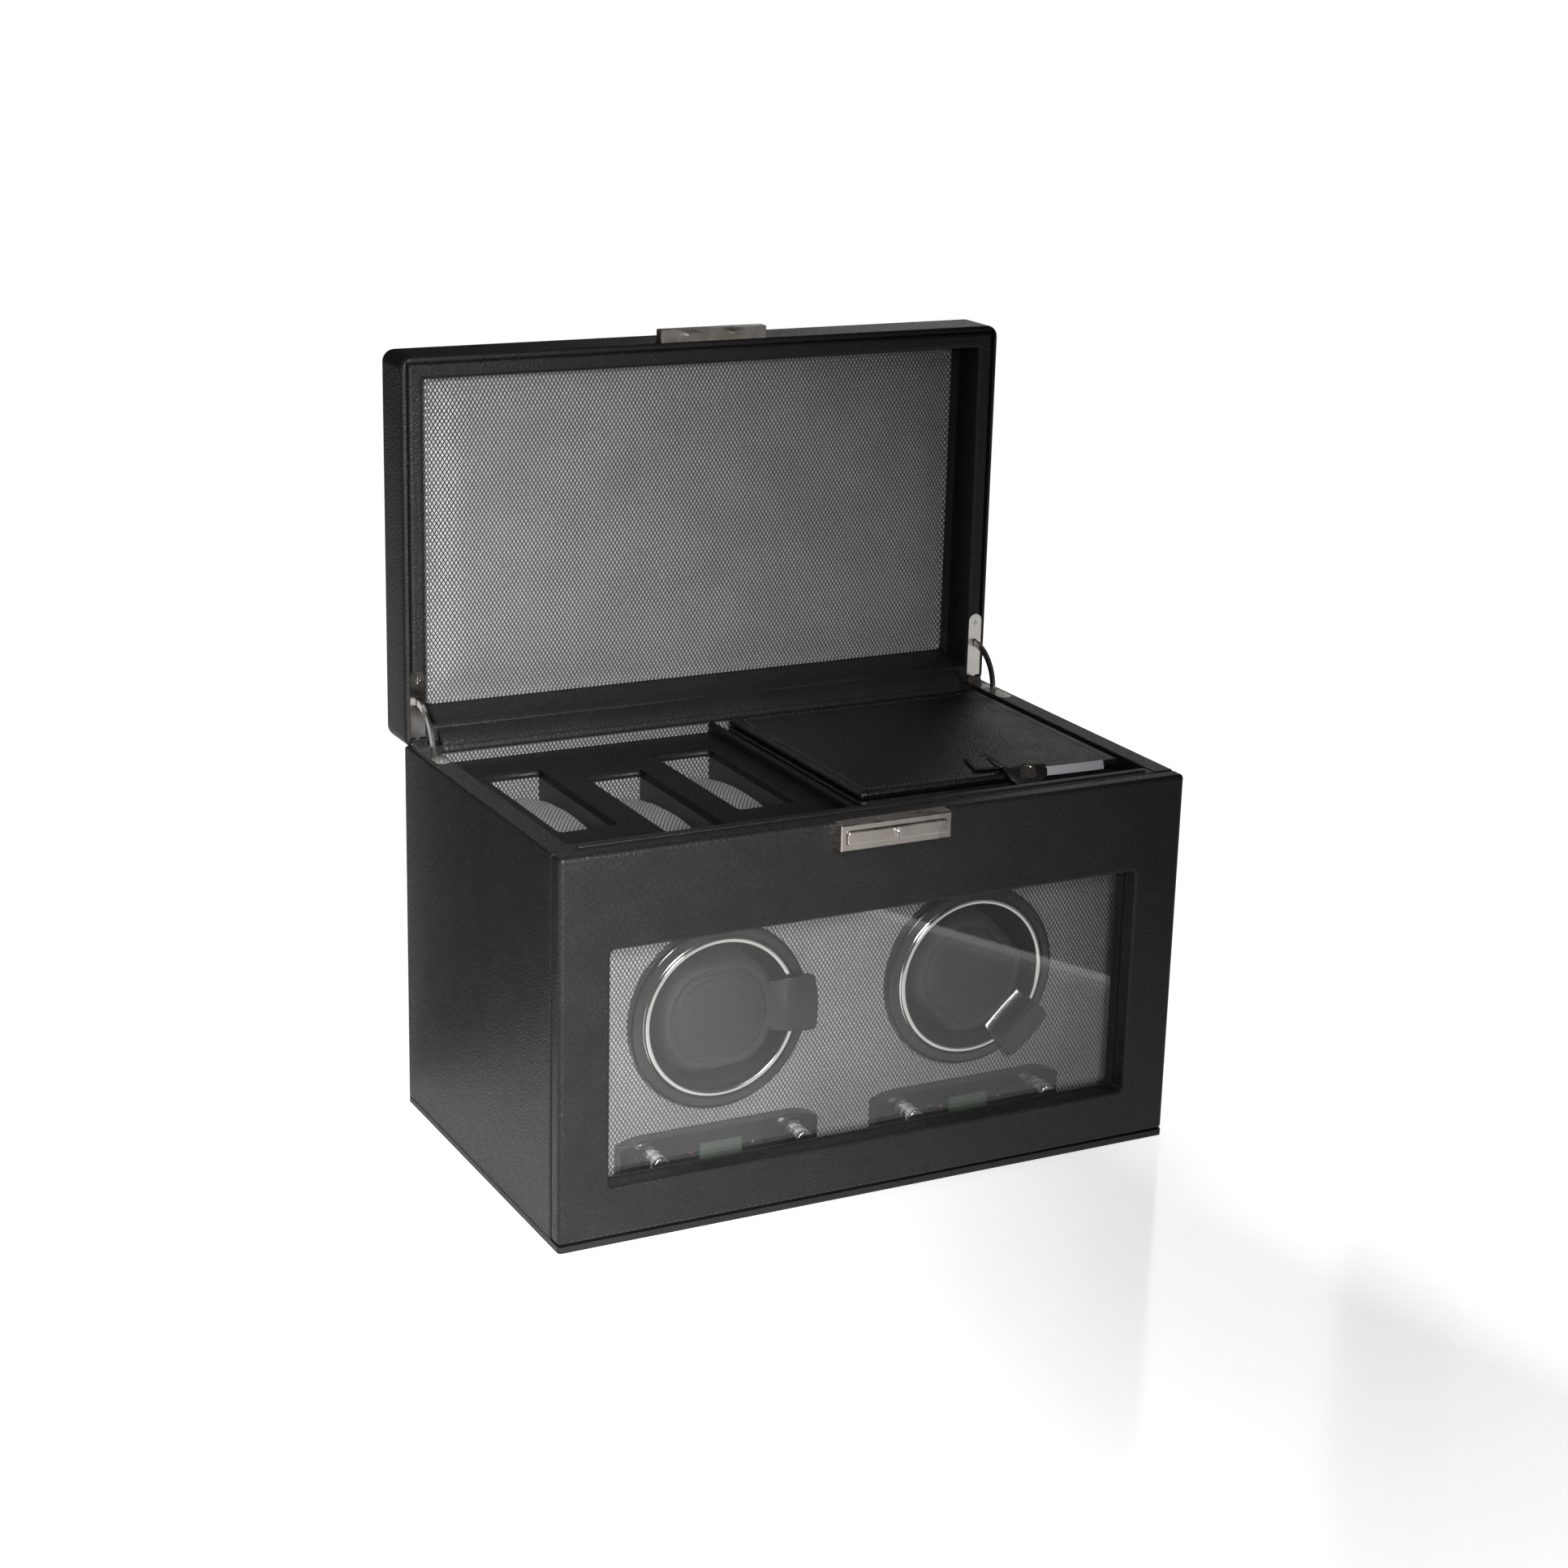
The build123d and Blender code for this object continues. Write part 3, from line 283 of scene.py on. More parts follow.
MATERIALS = {
    "leather": leather(
        "leather", (0.008, 0.008, 0.0084), (0.026, 0.026, 0.0266), cell=2.3, depth=0.17, shine=0.36
    ),
    "lining_leather": leather(
        "lining_leather", (0.003, 0.003, 0.0032), (0.008, 0.008, 0.0083),
        cell=1.8, depth=0.25, rough=(0.34, 0.46)
    ),
    # Painted shade: a darker copy of the mesh cloth for the storage linings, with the walls that face X
    # dimmed almost to black.
    "shaded_well_mesh": diamond_mesh("shaded_well_mesh", (0.004, 0.004, 0.004), (0.50, 0.50, 0.51), side=0.02),
    "mesh_fabric": diamond_mesh("mesh_fabric", (0.006, 0.006, 0.007), (0.76, 0.76, 0.78)),
    "cuff_leather": leather(
        "cuff_leather", (0.010, 0.010, 0.010), (0.030, 0.030, 0.031),
        cell=2.2, depth=0.36, rough=(0.5, 0.7), wrinkle=1.3
    ),
    "tray_black": leather(
        "tray_black", (0.002, 0.002, 0.002), (0.005, 0.005, 0.0051),
        cell=1.2, depth=0.08, rough=(0.45, 0.6), shine=0.3
    ),
    "satin_nickel": metal("satin_nickel", (0.66, 0.60, 0.55), 0.24, brushed=0.12),
    "bright_nickel": metal("bright_nickel", (0.84, 0.81, 0.77), 0.16, ripple=0.1),
    "chrome": metal("chrome", (0.93, 0.90, 0.87), 0.05),
    "soft_chrome": metal("soft_chrome", (0.93, 0.90, 0.87), 0.13),
    "glass": clear_glass("glass"),
    "black_gloss": plastic("black_gloss", (0.006, 0.006, 0.006), 0.14, texture=90.0),
    "black_matte": plastic("black_matte", (0.012, 0.012, 0.012), 0.36, texture=120.0),
    "lcd": display_glass("lcd"),
    "steel": metal("steel", (0.42, 0.42, 0.42), 0.35, brushed=0.15),
    "belt_rubber": plastic("belt_rubber", (0.012, 0.012, 0.012), 0.75, depth=0.4),
    "ribbon": thread("ribbon", (0.72, 0.73, 0.76)),
    "jack_black": plastic("jack_black", (0.02, 0.02, 0.02), 0.4),
    "thread_black": thread("thread_black", (0.045, 0.045, 0.047)),
    "thread_dark": thread("thread_dark", (0.004, 0.004, 0.004)),
    "thread_grey": thread("thread_grey", (0.42, 0.42, 0.43)),
    "lamp_red": lamp("lamp_red", (0.16, 0.02, 0.025), 0.03),
    "lamp_dark": lamp("lamp_dark", (0.12, 0.12, 0.12), 0.0),
}


def paint_cad():
    """Gives each CAD node its slot's material, then gives the storage linings the darker copy of the mesh
    cloth, a painted shade in the wells.
    """
    for part in frame["record"]["subparts"]:
        node = frame["nodes"][part["node"]]
        for place in range(max(1, len(node.material_slots))):
            if not node.material_slots:
                node.data.materials.append(None)
            node.material_slots[place].link = "OBJECT"
            node.material_slots[place].material = MATERIALS[part["material_slot"]]
    # The storage linings get the painted-shade copy of the mesh cloth.
    frame["nodes"]["storage_linings"].material_slots[0].material = MATERIALS["shaded_well_mesh"]


# ---- Mesh tools
def new_piece(name, vertices, faces, material, body=None, slot=None):
    """A smooth mesh object that rides on a body."""
    mesh = bpy.data.meshes.new(name)
    mesh.from_pydata([tuple(v) for v in vertices], [], [tuple(f) for f in faces])
    work = bmesh.new()
    work.from_mesh(mesh)
    bmesh.ops.recalc_face_normals(work, faces=work.faces)
    work.to_mesh(mesh)
    work.free()
    mesh.shade_smooth()
    mesh.materials.append(MATERIALS[material])
    piece = bpy.data.objects.new(name, mesh)
    bpy.context.scene.collection.objects.link(piece)
    if body:
        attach(piece, body)
    return piece


def edge_stops(low, high, radius, steps, cuts):
    """Grid lines from one face to the other, close together round the edges and even between them."""
    arc = [radius * math.tan(math.pi / 4 * k / steps) for k in range(steps + 1)]
    start = [low + radius - a for a in reversed(arc)]
    end = [high - radius + a for a in arc]
    between = np.linspace(low + radius, high - radius, cuts + 2)[1:-1]
    return start + list(between) + end


def rounded_box(low, high, radius, cuts, steps=3):
    """Vertices and faces of a box whose edges have that radius."""
    stops = [edge_stops(low[k], high[k], radius, steps, cuts[k]) for k in range(3)]
    last = [len(s) - 1 for s in stops]
    places, faces = {}, []

    def corner(key):
        return places.setdefault(key, len(places))

    for axis in range(3):
        u, v = [k for k in range(3) if k != axis]
        for end in (0, last[axis]):
            for i in range(last[u]):
                for j in range(last[v]):
                    face = []
                    for di, dj in ((0, 0), (1, 0), (1, 1), (0, 1)):
                        key = [0, 0, 0]
                        key[axis], key[u], key[v] = end, i + di, j + dj
                        face.append(corner(tuple(key)))
                    faces.append(face)
    vertices = []
    inner_low = np.array(low) + radius
    inner_high = np.array(high) - radius
    for key in places:
        point = np.array([stops[k][key[k]] for k in range(3)])
        inner = np.clip(point, inner_low, inner_high)
        away = point - inner
        vertices.append(inner + away / max(np.linalg.norm(away), 1e-9) * radius)
    return vertices, faces


def lathe(profile, centre, turns=96, flat=None):
    """Turns (radius, y) points about the Y axis through centre. flat(angle, radius) may change a radius."""
    vertices, faces = [], []
    for k in range(turns):
        angle = 2 * math.pi * k / turns
        for radius, y in profile:
            r = flat(angle, radius) if flat else radius
            vertices.append((centre[0] + r * math.cos(angle), y, centre[2] + r * math.sin(angle)))
    rows = len(profile)
    for k in range(turns):
        after = (k + 1) % turns
        for j in range(rows - 1):
            faces.append((k * rows + j, after * rows + j, after * rows + j + 1, k * rows + j + 1))
    return vertices, faces


def bulge(piece, move):
    """Moves each vertex by what move(point) gives."""
    for vertex in piece.data.vertices:
        vertex.co += Vector(move(vertex.co))
    piece.data.update()


def sheet_faces(columns, rows):
    """Faces of a closed thin sheet whose two layers are grids of vertices, laid column after column."""
    row = rows + 1
    count = (columns + 1) * row
    faces = []
    for layer in (0, 1):
        for i in range(columns):
            for j in range(rows):
                a = layer * count + i * row + j
                faces.append((a, a + row, a + row + 1, a + 1))
    border = [i * row for i in range(columns + 1)]
    border += [columns * row + j for j in range(1, row)]
    border += [i * row + rows for i in range(columns - 1, -1, -1)]
    border += list(range(rows - 1, 0, -1))
    for a, b in zip(border, border[1:] + border[:1]):
        faces.append((a, b, b + count, a + count))
    return faces


def smooth_step(value, low, high):
    t = min(1.0, max(0.0, (value - low) / (high - low)))
    return t * t * (3 - 2 * t)


def along(points, pitch, closed):
    """Evenly spaced (place, direction) pairs on a run of points."""
    run = [Vector(p) for p in points]
    if closed:
        run.append(run[0])
    lengths = [(b - a).length for a, b in zip(run, run[1:])]
    total = sum(lengths)
    count = max(1, round(total / pitch))
    marks = []
    for k in range(count):
        left = (k + 0.5) * total / count
        for a, b, length in zip(run, run[1:], lengths):
            if left <= length:
                marks.append((a + (b - a) * (left / length), (b - a).normalized()))
                break
            left -= length
    return marks


def stitches(
    name, runs, normal, body, material="thread_black", pitch=3.2, length=2.5, radius=0.32, closed=False
):
    """Rows of sewn stitches as one piece: each is a short fat thread that dips at both ends."""
    stations = [(-0.5, 0.25, -0.9), (-0.32, 0.8, 0.0), (0.0, 1.0, 0.35), (0.32, 0.8, 0.0), (0.5, 0.25, -0.9)]
    sides = 6
    vertices, faces = [], []
    for run in runs:
        for place, direction in along(run, pitch * MM, closed):
            up = Vector(normal) if not callable(normal) else Vector(normal(place))
            across = direction.cross(up).normalized()
            base = len(vertices)
            for share, fat, lift in stations:
                centre = place + direction * (share * length * MM) + up * (lift * radius * MM)
                for k in range(sides):
                    angle = 2 * math.pi * k / sides
                    ring = across * math.cos(angle) + up * (0.8 * math.sin(angle))
                    vertices.append(centre + ring * (radius * fat * MM))
            rows = len(stations)
            for j in range(rows - 1):
                for k in range(sides):
                    after = (k + 1) % sides
                    a, b = base + j * sides, base + (j + 1) * sides
                    faces.append((a + k, a + after, b + after, b + k))
            faces.append([base + k for k in range(sides)])
            faces.append([base + (rows - 1) * sides + k for k in range(sides)])
    return new_piece(name, vertices, faces, material, body)


def tube(name, points, radius, body, material, closed=False, sides=8):
    """A round cord, bead or wire along points."""
    curve = bpy.data.curves.new(name, "CURVE")
    curve.dimensions = "3D"
    curve.bevel_depth = radius * MM
    curve.bevel_resolution = sides // 4
    curve.use_fill_caps = True
    spline = curve.splines.new("POLY")
    spline.points.add(len(points) - 1)
    for point, place in zip(spline.points, points):
        point.co = (*place, 1.0)
    spline.use_cyclic_u = closed
    holder = bpy.data.objects.new(name + "_line", curve)
    mesh = bpy.data.meshes.new_from_object(holder)
    bpy.data.objects.remove(holder)
    piece = bpy.data.objects.new(name, mesh)
    mesh.name = name
    mesh.materials.clear()
    mesh.materials.append(MATERIALS[material])
    mesh.shade_smooth()
    bpy.context.scene.collection.objects.link(piece)
    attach(piece, body)
    return piece


def rectangle(low, high, inset, y=None, z=None, radius=4.0, steps=5):
    """Points round a rounded rectangle, in the plane y or the plane z. Low and high are 2-D corners."""
    a, b = low[0] + inset * MM, high[0] - inset * MM
    c, d = low[1] + inset * MM, high[1] - inset * MM
    r = radius * MM
    points = []
    corners = ((b - r, d - r, 0), (a + r, d - r, 90), (a + r, c + r, 180), (b - r, c + r, 270))
    for centre_a, centre_c, start in corners:
        for k in range(steps + 1):
            angle = math.radians(start + 90 * k / steps)
            p, q = centre_a + r * math.cos(angle), centre_c + r * math.sin(angle)
            points.append((p, y, q) if z is None else (p, q, z))
    return points


def turn_about(piece, centre, angle):
    """Turns a piece's mesh about the Y axis through centre, clockwise from the front."""
    move = Matrix.Translation(centre) @ Matrix.Rotation(angle, 4, "Y") @ Matrix.Translation(-Vector(centre))
    piece.data.transform(move)


# ---- Lid
def lid_lining():
    low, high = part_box("lid_pad")
    full = high.y - low.y
    shape = rounded_box(low, high, 1.4 * MM, (84, 1, 50))
    piece = new_piece("lid_lining", *shape, "mesh_fabric", "lid", "mesh_fabric")

    def sink(point):
        if point.y > high.y - 0.4 * full:
            return (0, 0, 0)
        reach = min(point.x - low.x, high.x - point.x, point.z - low.z, high.z - point.z) / MM
        hem = 2.4 * MM
        groove = 0.9 * MM * (1 - smooth_step(abs(reach - 3.6), 0.0, 1.1))
        crown = hem * (1 - smooth_step(reach, 4.0, 22.0) ** 0.6)
        ripple = 0.25 * MM * noise.noise(point * 26) * smooth_step(reach, 4, 20)
        return (0, crown + groove + ripple, 0)

    bulge(piece, sink)
    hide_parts("lid_pad")
    y = low.y + 2.9 * MM
    corners = ((low.x, low.z), (high.x, high.z))
    stitches("lid_lining_stitches", [rectangle(*corners, 3.5, y=y, radius=2)], (0, -1, 0), "lid",
             "thread_grey", pitch=3.0, length=2.4, closed=True)
    hem = rectangle(*corners, 0.9, y=low.y + 2.2 * MM, radius=1.5)
    tube("lid_lining_piping", hem, 0.95, "lid", "mesh_fabric", closed=True)


def lid_mitres():
    """The sewn mitre seams across the corners of the lid's rim, proud by less than the closed lid's gap."""
    low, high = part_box("lid_shell")
    y = low.y + 0.2 * MM
    for number, (sx, sz) in enumerate(((-1, 1), (1, 1)), start=1):
        x_out, z_out = (high.x if sx > 0 else low.x), high.z
        start = Vector((x_out - sx * 4.4 * MM, y, z_out - sz * 4.4 * MM))
        end = Vector((x_out - sx * 10.2 * MM, y, z_out - sz * 10.2 * MM))
        tube(f"lid_mitre_{number}", [start, (start + end) / 2, end], 0.3, "lid",
             "lining_leather")


def lid_flap():
    """The leather gusset across the hinge line: it hangs from the lining's lower edge to the rear wall."""
    low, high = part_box("lid_gusset")
    pad_low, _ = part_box("lid_pad")
    columns, rows = 96, 22
    top = Vector((0, pad_low.y + 3.4 * MM, pad_low.z + 0.6 * MM))
    foot = Vector((0, low.y + 0.4 * MM, low.z))
    vertices = []
    for layer in (0, 1):
        for i in range(columns + 1):
            share = i / columns
            x = low.x + (high.x - low.x) * share
            for j in range(rows + 1):
                t = j / rows
                belly = math.sin(math.pi * t ** 0.8) * 4.6 * MM
                point = foot.lerp(top, t) + Vector((x, -0.70 * belly, 0.62 * belly))
                wave = noise.noise(Vector((x * 18, t * 1.2, 3.0))) * 0.5 * MM * math.sin(math.pi * t)
                point += Vector((0, -wave, wave))
                vertices.append(point + Vector((0, 1.0 * MM, -0.6 * MM)) * layer)
    piece = new_piece("lid_flap", vertices, sheet_faces(columns, rows), "leather")
    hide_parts("lid_gusset")
    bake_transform(piece)


# ---- Tray and its cushions
def tray_pillows():
    for number in (1, 2, 3):
        node = f"tray_cushion_{number}"
        low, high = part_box(node)
        name = f"tray_pillow_{number}"
        shape = rounded_box(low, high, 4.5 * MM, (10, 30, 5))
        piece = new_piece(name, *shape, "mesh_fabric", node, "mesh_fabric")
        centre = (low + high) / 2
        half = (high - low) / 2

        def soften(point):
            u = (point.x - centre.x) / half.x
            v = (point.y - centre.y) / half.y
            w = (point.z - centre.z) / half.z
            crown = -5.0 * MM * (v * v) - 1.6 * MM * u * u
            pull = 0.8 * MM * (1 - abs(w))
            ripple = noise.noise(point * 90) * 0.35 * MM
            return (-u * pull, -v * pull * 1.5, (crown if w > 0.3 else 0) + ripple)

        bulge(piece, soften)
        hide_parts(node)


def tray_beads():
    """The rolled leather edge at the rear of each slot, in the lighter box leather in place of the tray's
    black: a painted highlight on the roll.
    """
    for number in (1, 2, 3):
        low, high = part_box(f"tray_cushion_{number}")
        rear = high.y + 4.6 * MM
        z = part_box("watch_tray")[1].z - 1.9 * MM
        run = [(low.x - 0.2 * MM, rear - 1.6 * MM, z - 0.5 * MM), (low.x + 0.9 * MM, rear - 0.2 * MM, z),
               ((low.x + high.x) / 2, rear, z + 0.1 * MM), (high.x - 0.9 * MM, rear - 0.2 * MM, z),
               (high.x + 0.2 * MM, rear - 1.6 * MM, z - 0.5 * MM)]
        # Painted highlight: the bead takes the lighter box leather.
        tube(f"tray_bead_{number}", run, 1.45, "box", "leather", sides=16)


def front_lip():
    """The covered lip along the front of the storage space, which the closed lid presses on."""
    low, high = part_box("storage_front_wall")
    a = (low.x + 3.0 * MM, low.y + 3.2 * MM, high.z - 0.8 * MM)
    b = (high.x - 3.0 * MM, low.y + 6.0 * MM, high.z + 0.9 * MM)
    new_piece("front_lip", *rounded_box(a, b, 0.8 * MM, (60, 1, 1)), "leather", "box", "leather")


def base_seams():
    """The sewn seams where the walls meet the base board."""
    low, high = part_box("base_panel")
    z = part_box("left_wall")[0].z
    runs = {
        "left": [(low.x - 0.05 * MM, low.y + 10.5 * MM, z), (low.x - 0.05 * MM, high.y - 3 * MM, z)],
        "right": [(high.x + 0.05 * MM, low.y + 10.5 * MM, z), (high.x + 0.05 * MM, high.y - 3 * MM, z)],
        "rear": [(low.x + 3 * MM, high.y + 0.05 * MM, z), (high.x - 3 * MM, high.y + 0.05 * MM, z)],
    }
    for side, run in runs.items():
        out = {"left": (-1, 0, 0), "right": (1, 0, 0), "rear": (0, 1, 0)}[side]
        stitches(f"base_seam_{side}", [run], out, "box", "thread_dark", pitch=2.6, length=2.4, radius=0.42)


# ---- Travel case
def case_cover():
    low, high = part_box("case_lid")
    shape = rounded_box(low, high, 2.2 * MM, (40, 40, 1))
    piece = new_piece("case_cover", *shape, "lining_leather", "case_lid", "lining_leather")
    centre = (low + high) / 2
    half = (high - low) / 2

    def soften(point):
        if point.z < centre.z:
            return (0, 0, 0)
        reach = min(half.x - abs(point.x - centre.x), half.y - abs(point.y - centre.y)) / MM
        dip = 0.55 * MM * (1 - smooth_step(abs(reach - 5.0), 0.2, 1.8))
        swell = 0.5 * MM * smooth_step(reach, 5, 30)
        ripple = noise.noise(point * 30) * 0.35 * MM * smooth_step(reach, 3, 12)
        return (0, 0, swell - dip + ripple - 0.5 * MM)

    bulge(piece, soften)
    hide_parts("case_lid")
    run = rectangle((low.x, low.y), (high.x, high.y), 5.0, z=high.z - 0.85 * MM, radius=3)
    stitches("case_cover_stitches", [run], (0, 0, 1), "case_lid",
             pitch=2.7, length=2.0, radius=0.26, closed=True)


def case_tub():
    low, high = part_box("case_base")
    bead = rectangle((low.x, low.y), (high.x, high.y), 0.6, z=high.z - 1.3 * MM, radius=3)
    tube("case_bead", bead, 1.25, "travel_case", "lining_leather", closed=True)


def case_leaf():
    """The closing strap: a stitched leather tongue that lies on the case and curls over its front edge."""
    low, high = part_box("case_strap")
    edge_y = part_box("case_lid")[0].y
    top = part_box("case_lid")[1].z
    middle = (low.x + high.x) / 2
    bends = ((27, 0.9), (21, 1.3), (14, 1.7), (8, 2.0), (3.5, 2.1), (0, 1.5), (-2.6, 0.1), (-4.7, -2.0),
             (-6.3, -4.6), (-7.4, -7.2))
    path = [Vector((0, edge_y + reach * MM, top + lift * MM)) for reach, lift in bends]
    pitch = 0.8 * MM
    spots = along(path, pitch, False)
    count = len(spots)
    columns = 16
    half = 11.6 * MM
    length = pitch * count
    vertices, seam_left, seam_right = [], [], []
    for layer in (1, -1):
        for number, (place, direction) in enumerate(spots):
            out = Vector((1, 0, 0)).cross(direction).normalized()
            left = length - (number + 0.5) * pitch
            round_end = math.sqrt(max(0.0, 1 - max(0.0, 1 - left / half) ** 2))
            waist = 1 - 0.22 * smooth_step(left / MM, 16, 34)
            width = half * max(round_end, 0.12) * waist
            for j in range(columns + 1):
                share = 2 * j / columns - 1
                rim = 1 - abs(share) ** 8
                groove = 0.25 * MM * math.exp(-(((1 - abs(share)) * width / MM - 2.0) / 0.5) ** 2)
                puff = 0.2 * MM * noise.noise(Vector((share * 2, number * 0.13, 5.0)))
                rise = layer * 0.8 * MM * rim + (puff - groove if layer > 0 else 0)
                vertices.append(place + Vector((middle + share * width, 0, 0)) + out * rise)
            if layer > 0 and left > 2.0 * MM:
                inset = max(width - 2.0 * MM, 0.2 * MM)
                seam_left.append(place + Vector((middle - inset, 0, 0)) + out * 0.75 * MM)
                seam_right.append(place + Vector((middle + inset, 0, 0)) + out * 0.75 * MM)
    # Painted highlight: the strap gets the lighter box leather in place of the case's own dark leather.
    leaf = new_piece("case_leaf", vertices, sheet_faces(count - 1, columns), "leather", "case_lid", "leather")
    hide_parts("case_strap")
    seam = seam_left + seam_right[::-1]
    stitches("case_leaf_stitches", [seam], (0, -0.5, 0.86), "case_lid", "thread_black",
             pitch=2.9, length=2.1, radius=0.42)


def case_patch():
    """The small sewn patch that anchors the strap, lying askew beside it."""
    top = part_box("case_lid")[1].z
    low, high = (-10 * MM, -8.5 * MM, 0), (10 * MM, 8.5 * MM, 1.3 * MM)
    shape = rounded_box(low, high, 0.5 * MM, (8, 8, 1))
    piece = new_piece("case_patch", *shape, "leather", "case_lid", "leather")
    askew = Matrix.Rotation(math.radians(-14), 4, "Z")
    turn = Matrix.Translation((83.5 * MM, -44.5 * MM, top - 0.1 * MM)) @ askew
    piece.data.transform(turn)


def case_band():
    """The pale pull band, a woven strip that leans against the case's front edge."""
    low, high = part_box("case_ribbon")
    rows, columns = 6, 60
    vertices = []
    for layer in (0, 1):
        for i in range(columns + 1):
            share = i / columns
            x = low.x - 6 * MM + (high.x - low.x + 4 * MM) * share
            sag = 0.5 * MM * math.sin(math.pi * share)
            for j in range(rows + 1):
                t = j / rows
                y = low.y - 1.7 * MM + 1.3 * MM * t + 0.5 * MM * layer - sag
                z = high.z - 1.2 * MM + 4.2 * MM * t - 0.6 * MM * share
                vertices.append((x, y, z))
    piece = new_piece("case_band", vertices, sheet_faces(columns, rows), "ribbon", "case_lid", "ribbon")
    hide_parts("case_ribbon")


# ---- Winder stations
def station_centre(name):
    low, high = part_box(f"drum_ring_{name}")
    return Vector(((low.x + high.x) / 2, low.y, (low.z + high.z) / 2))


def flat_oval(half_height):
    """A function that gives the radius of a round shape cut flat at top and bottom, with soft corners."""
    soft = 1.4 * MM

    def radius_at(angle, radius):
        share = radius / CUFF_R
        cut = half_height * share / max(abs(math.sin(angle)), 0.05)
        melt = soft * share
        return radius - melt * math.log1p(math.exp(min((radius - cut) / melt, 60.0)))

    return radius_at


def watch_cuff(name):
    """The padded cuff: a soft body, a rolled front edge, and a stitched pad sewn into its front."""
    centre = station_centre(name)
    low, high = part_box(f"cuff_{name}")
    front = low.y
    body = f"drum_{name}"
    body_side = [(0, 30), (0, 14), (0.2, 8), (0.8, 5)]
    rolled_edge = [(1.8, 2.8), (3.2, 1.2), (4.8, 0.5), (6.0, 0.8), (6.7, 1.7), (7.1, 1.2), (7.8, 0.3)]
    sewn_pad = [(9.4, 0), (10.0, 0.25), (10.6, 0), (14, -0.3), (20, -0.5), (26, -0.6), (30.5, -0.6)]
    profile = [(CUFF_R, high.y - 1 * MM)]
    for inset, depth in body_side + rolled_edge + sewn_pad:
        profile.append((CUFF_R - inset * MM, front + depth * MM))
    outline = flat_oval(CUFF_HALF_HEIGHT)
    piece = new_piece(f"watch_cuff_{name}", *lathe(profile, centre, 128, outline), "cuff_leather")

    def crease(point):
        away = Vector((point.x - centre.x, 0, point.z - centre.z))
        reach = away.length / MM
        if point.y > front + 12 * MM:
            return (0, 0, 0)
        soft = noise.noise(Vector((point.x * 60, 1.0, point.z * 160))) * 0.25 * MM
        puff = noise.noise(point * 120) * 0.3 * MM * smooth_step(reach, 22, 27)
        return (0, soft * smooth_step(28 - reach, 0, 6) + puff, 0)

    bulge(piece, crease)
    turn_about(piece, centre, TAB_TURN[name])
    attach(piece, body)
    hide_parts(f"cuff_{name}")
    run = []
    for k in range(96):
        angle = 2 * math.pi * k / 96
        r = outline(angle, CUFF_R - 9.9 * MM)
        run.append((centre.x + r * math.cos(angle), front - 0.1 * MM, centre.z + r * math.sin(angle)))
    sewn = stitches(f"cuff_stitches_{name}", [run], (0, -1, 0), body, "thread_dark",
                    pitch=3.2, length=2.3, radius=0.42, closed=True)
    turn_about(sewn, centre, TAB_TURN[name])


def bright_ring(name):
    """The plated ring on the drum: a flat face with rounded edges and a fine step at its outer edge."""
    centre = station_centre(name)
    low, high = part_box(f"drum_ring_{name}")
    outer = (high.x - low.x) / 2
    back = high.y
    depth = high.y - low.y
    width = 3.2 * MM
    step = outer - 0.6 * MM
    inner = outer - width
    rim = [(outer, 0), (outer, 0.60), (outer - 0.15 * MM, 0.66), (step, 0.68)]
    face = [(step - 0.1 * MM, 0.85), (step - 0.3 * MM, 0.96), (step - 0.6 * MM, 1), (inner + 0.6 * MM, 0.98)]
    bore = [(inner + 0.25 * MM, 0.93), (inner, 0.78), (inner, 0)]
    profile = [(radius, back - share * depth) for radius, share in rim + face + bore]
    shape = lathe(profile, centre, 160)
    ring = new_piece(f"bright_ring_{name}", *shape, "soft_chrome", f"drum_{name}", "chrome")
    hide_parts(f"drum_ring_{name}")


def fluted_knob(name):
    """A setting knob: two bands parted by a narrow groove, fluted along its length, on a thin stem."""
    low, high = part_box(name)
    centre = (low + high) / 2
    outer = (high.x - low.x) / 2
    grip_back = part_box("control_panels")[0].y - 0.4 * MM
    stem = 2.0 * MM
    profile = [(0.01 * MM, low.y + 0.2 * MM), (outer * 0.45, low.y + 0.12 * MM)]
    profile.append((outer * 0.72, low.y + 0.5 * MM))
    bands = 2
    start, end = low.y + 0.6 * MM, grip_back - 1.4 * MM
    for band in range(bands):
        for k in range(9):
            t = k / 8
            y = start + (end - start) * (band + t) / bands
            swell = max(0.0, math.sin(math.pi * t)) ** 0.25
            profile.append((outer * (0.76 + 0.10 * swell + 0.08 * (band + t) / bands), y))
    profile += [(outer * 0.99, end + 0.2 * MM), (outer * 0.99, grip_back), (stem, grip_back), (stem, high.y)]

    def flute(angle, radius):
        if radius < outer * 0.7:
            return radius
        return radius - 0.3 * MM * max(0.0, math.cos(10 * angle)) ** 12

    knob = new_piece(f"fluted_{name}", *lathe(profile, centre, 120, flute), "soft_chrome", name, "chrome")
    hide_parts(name)


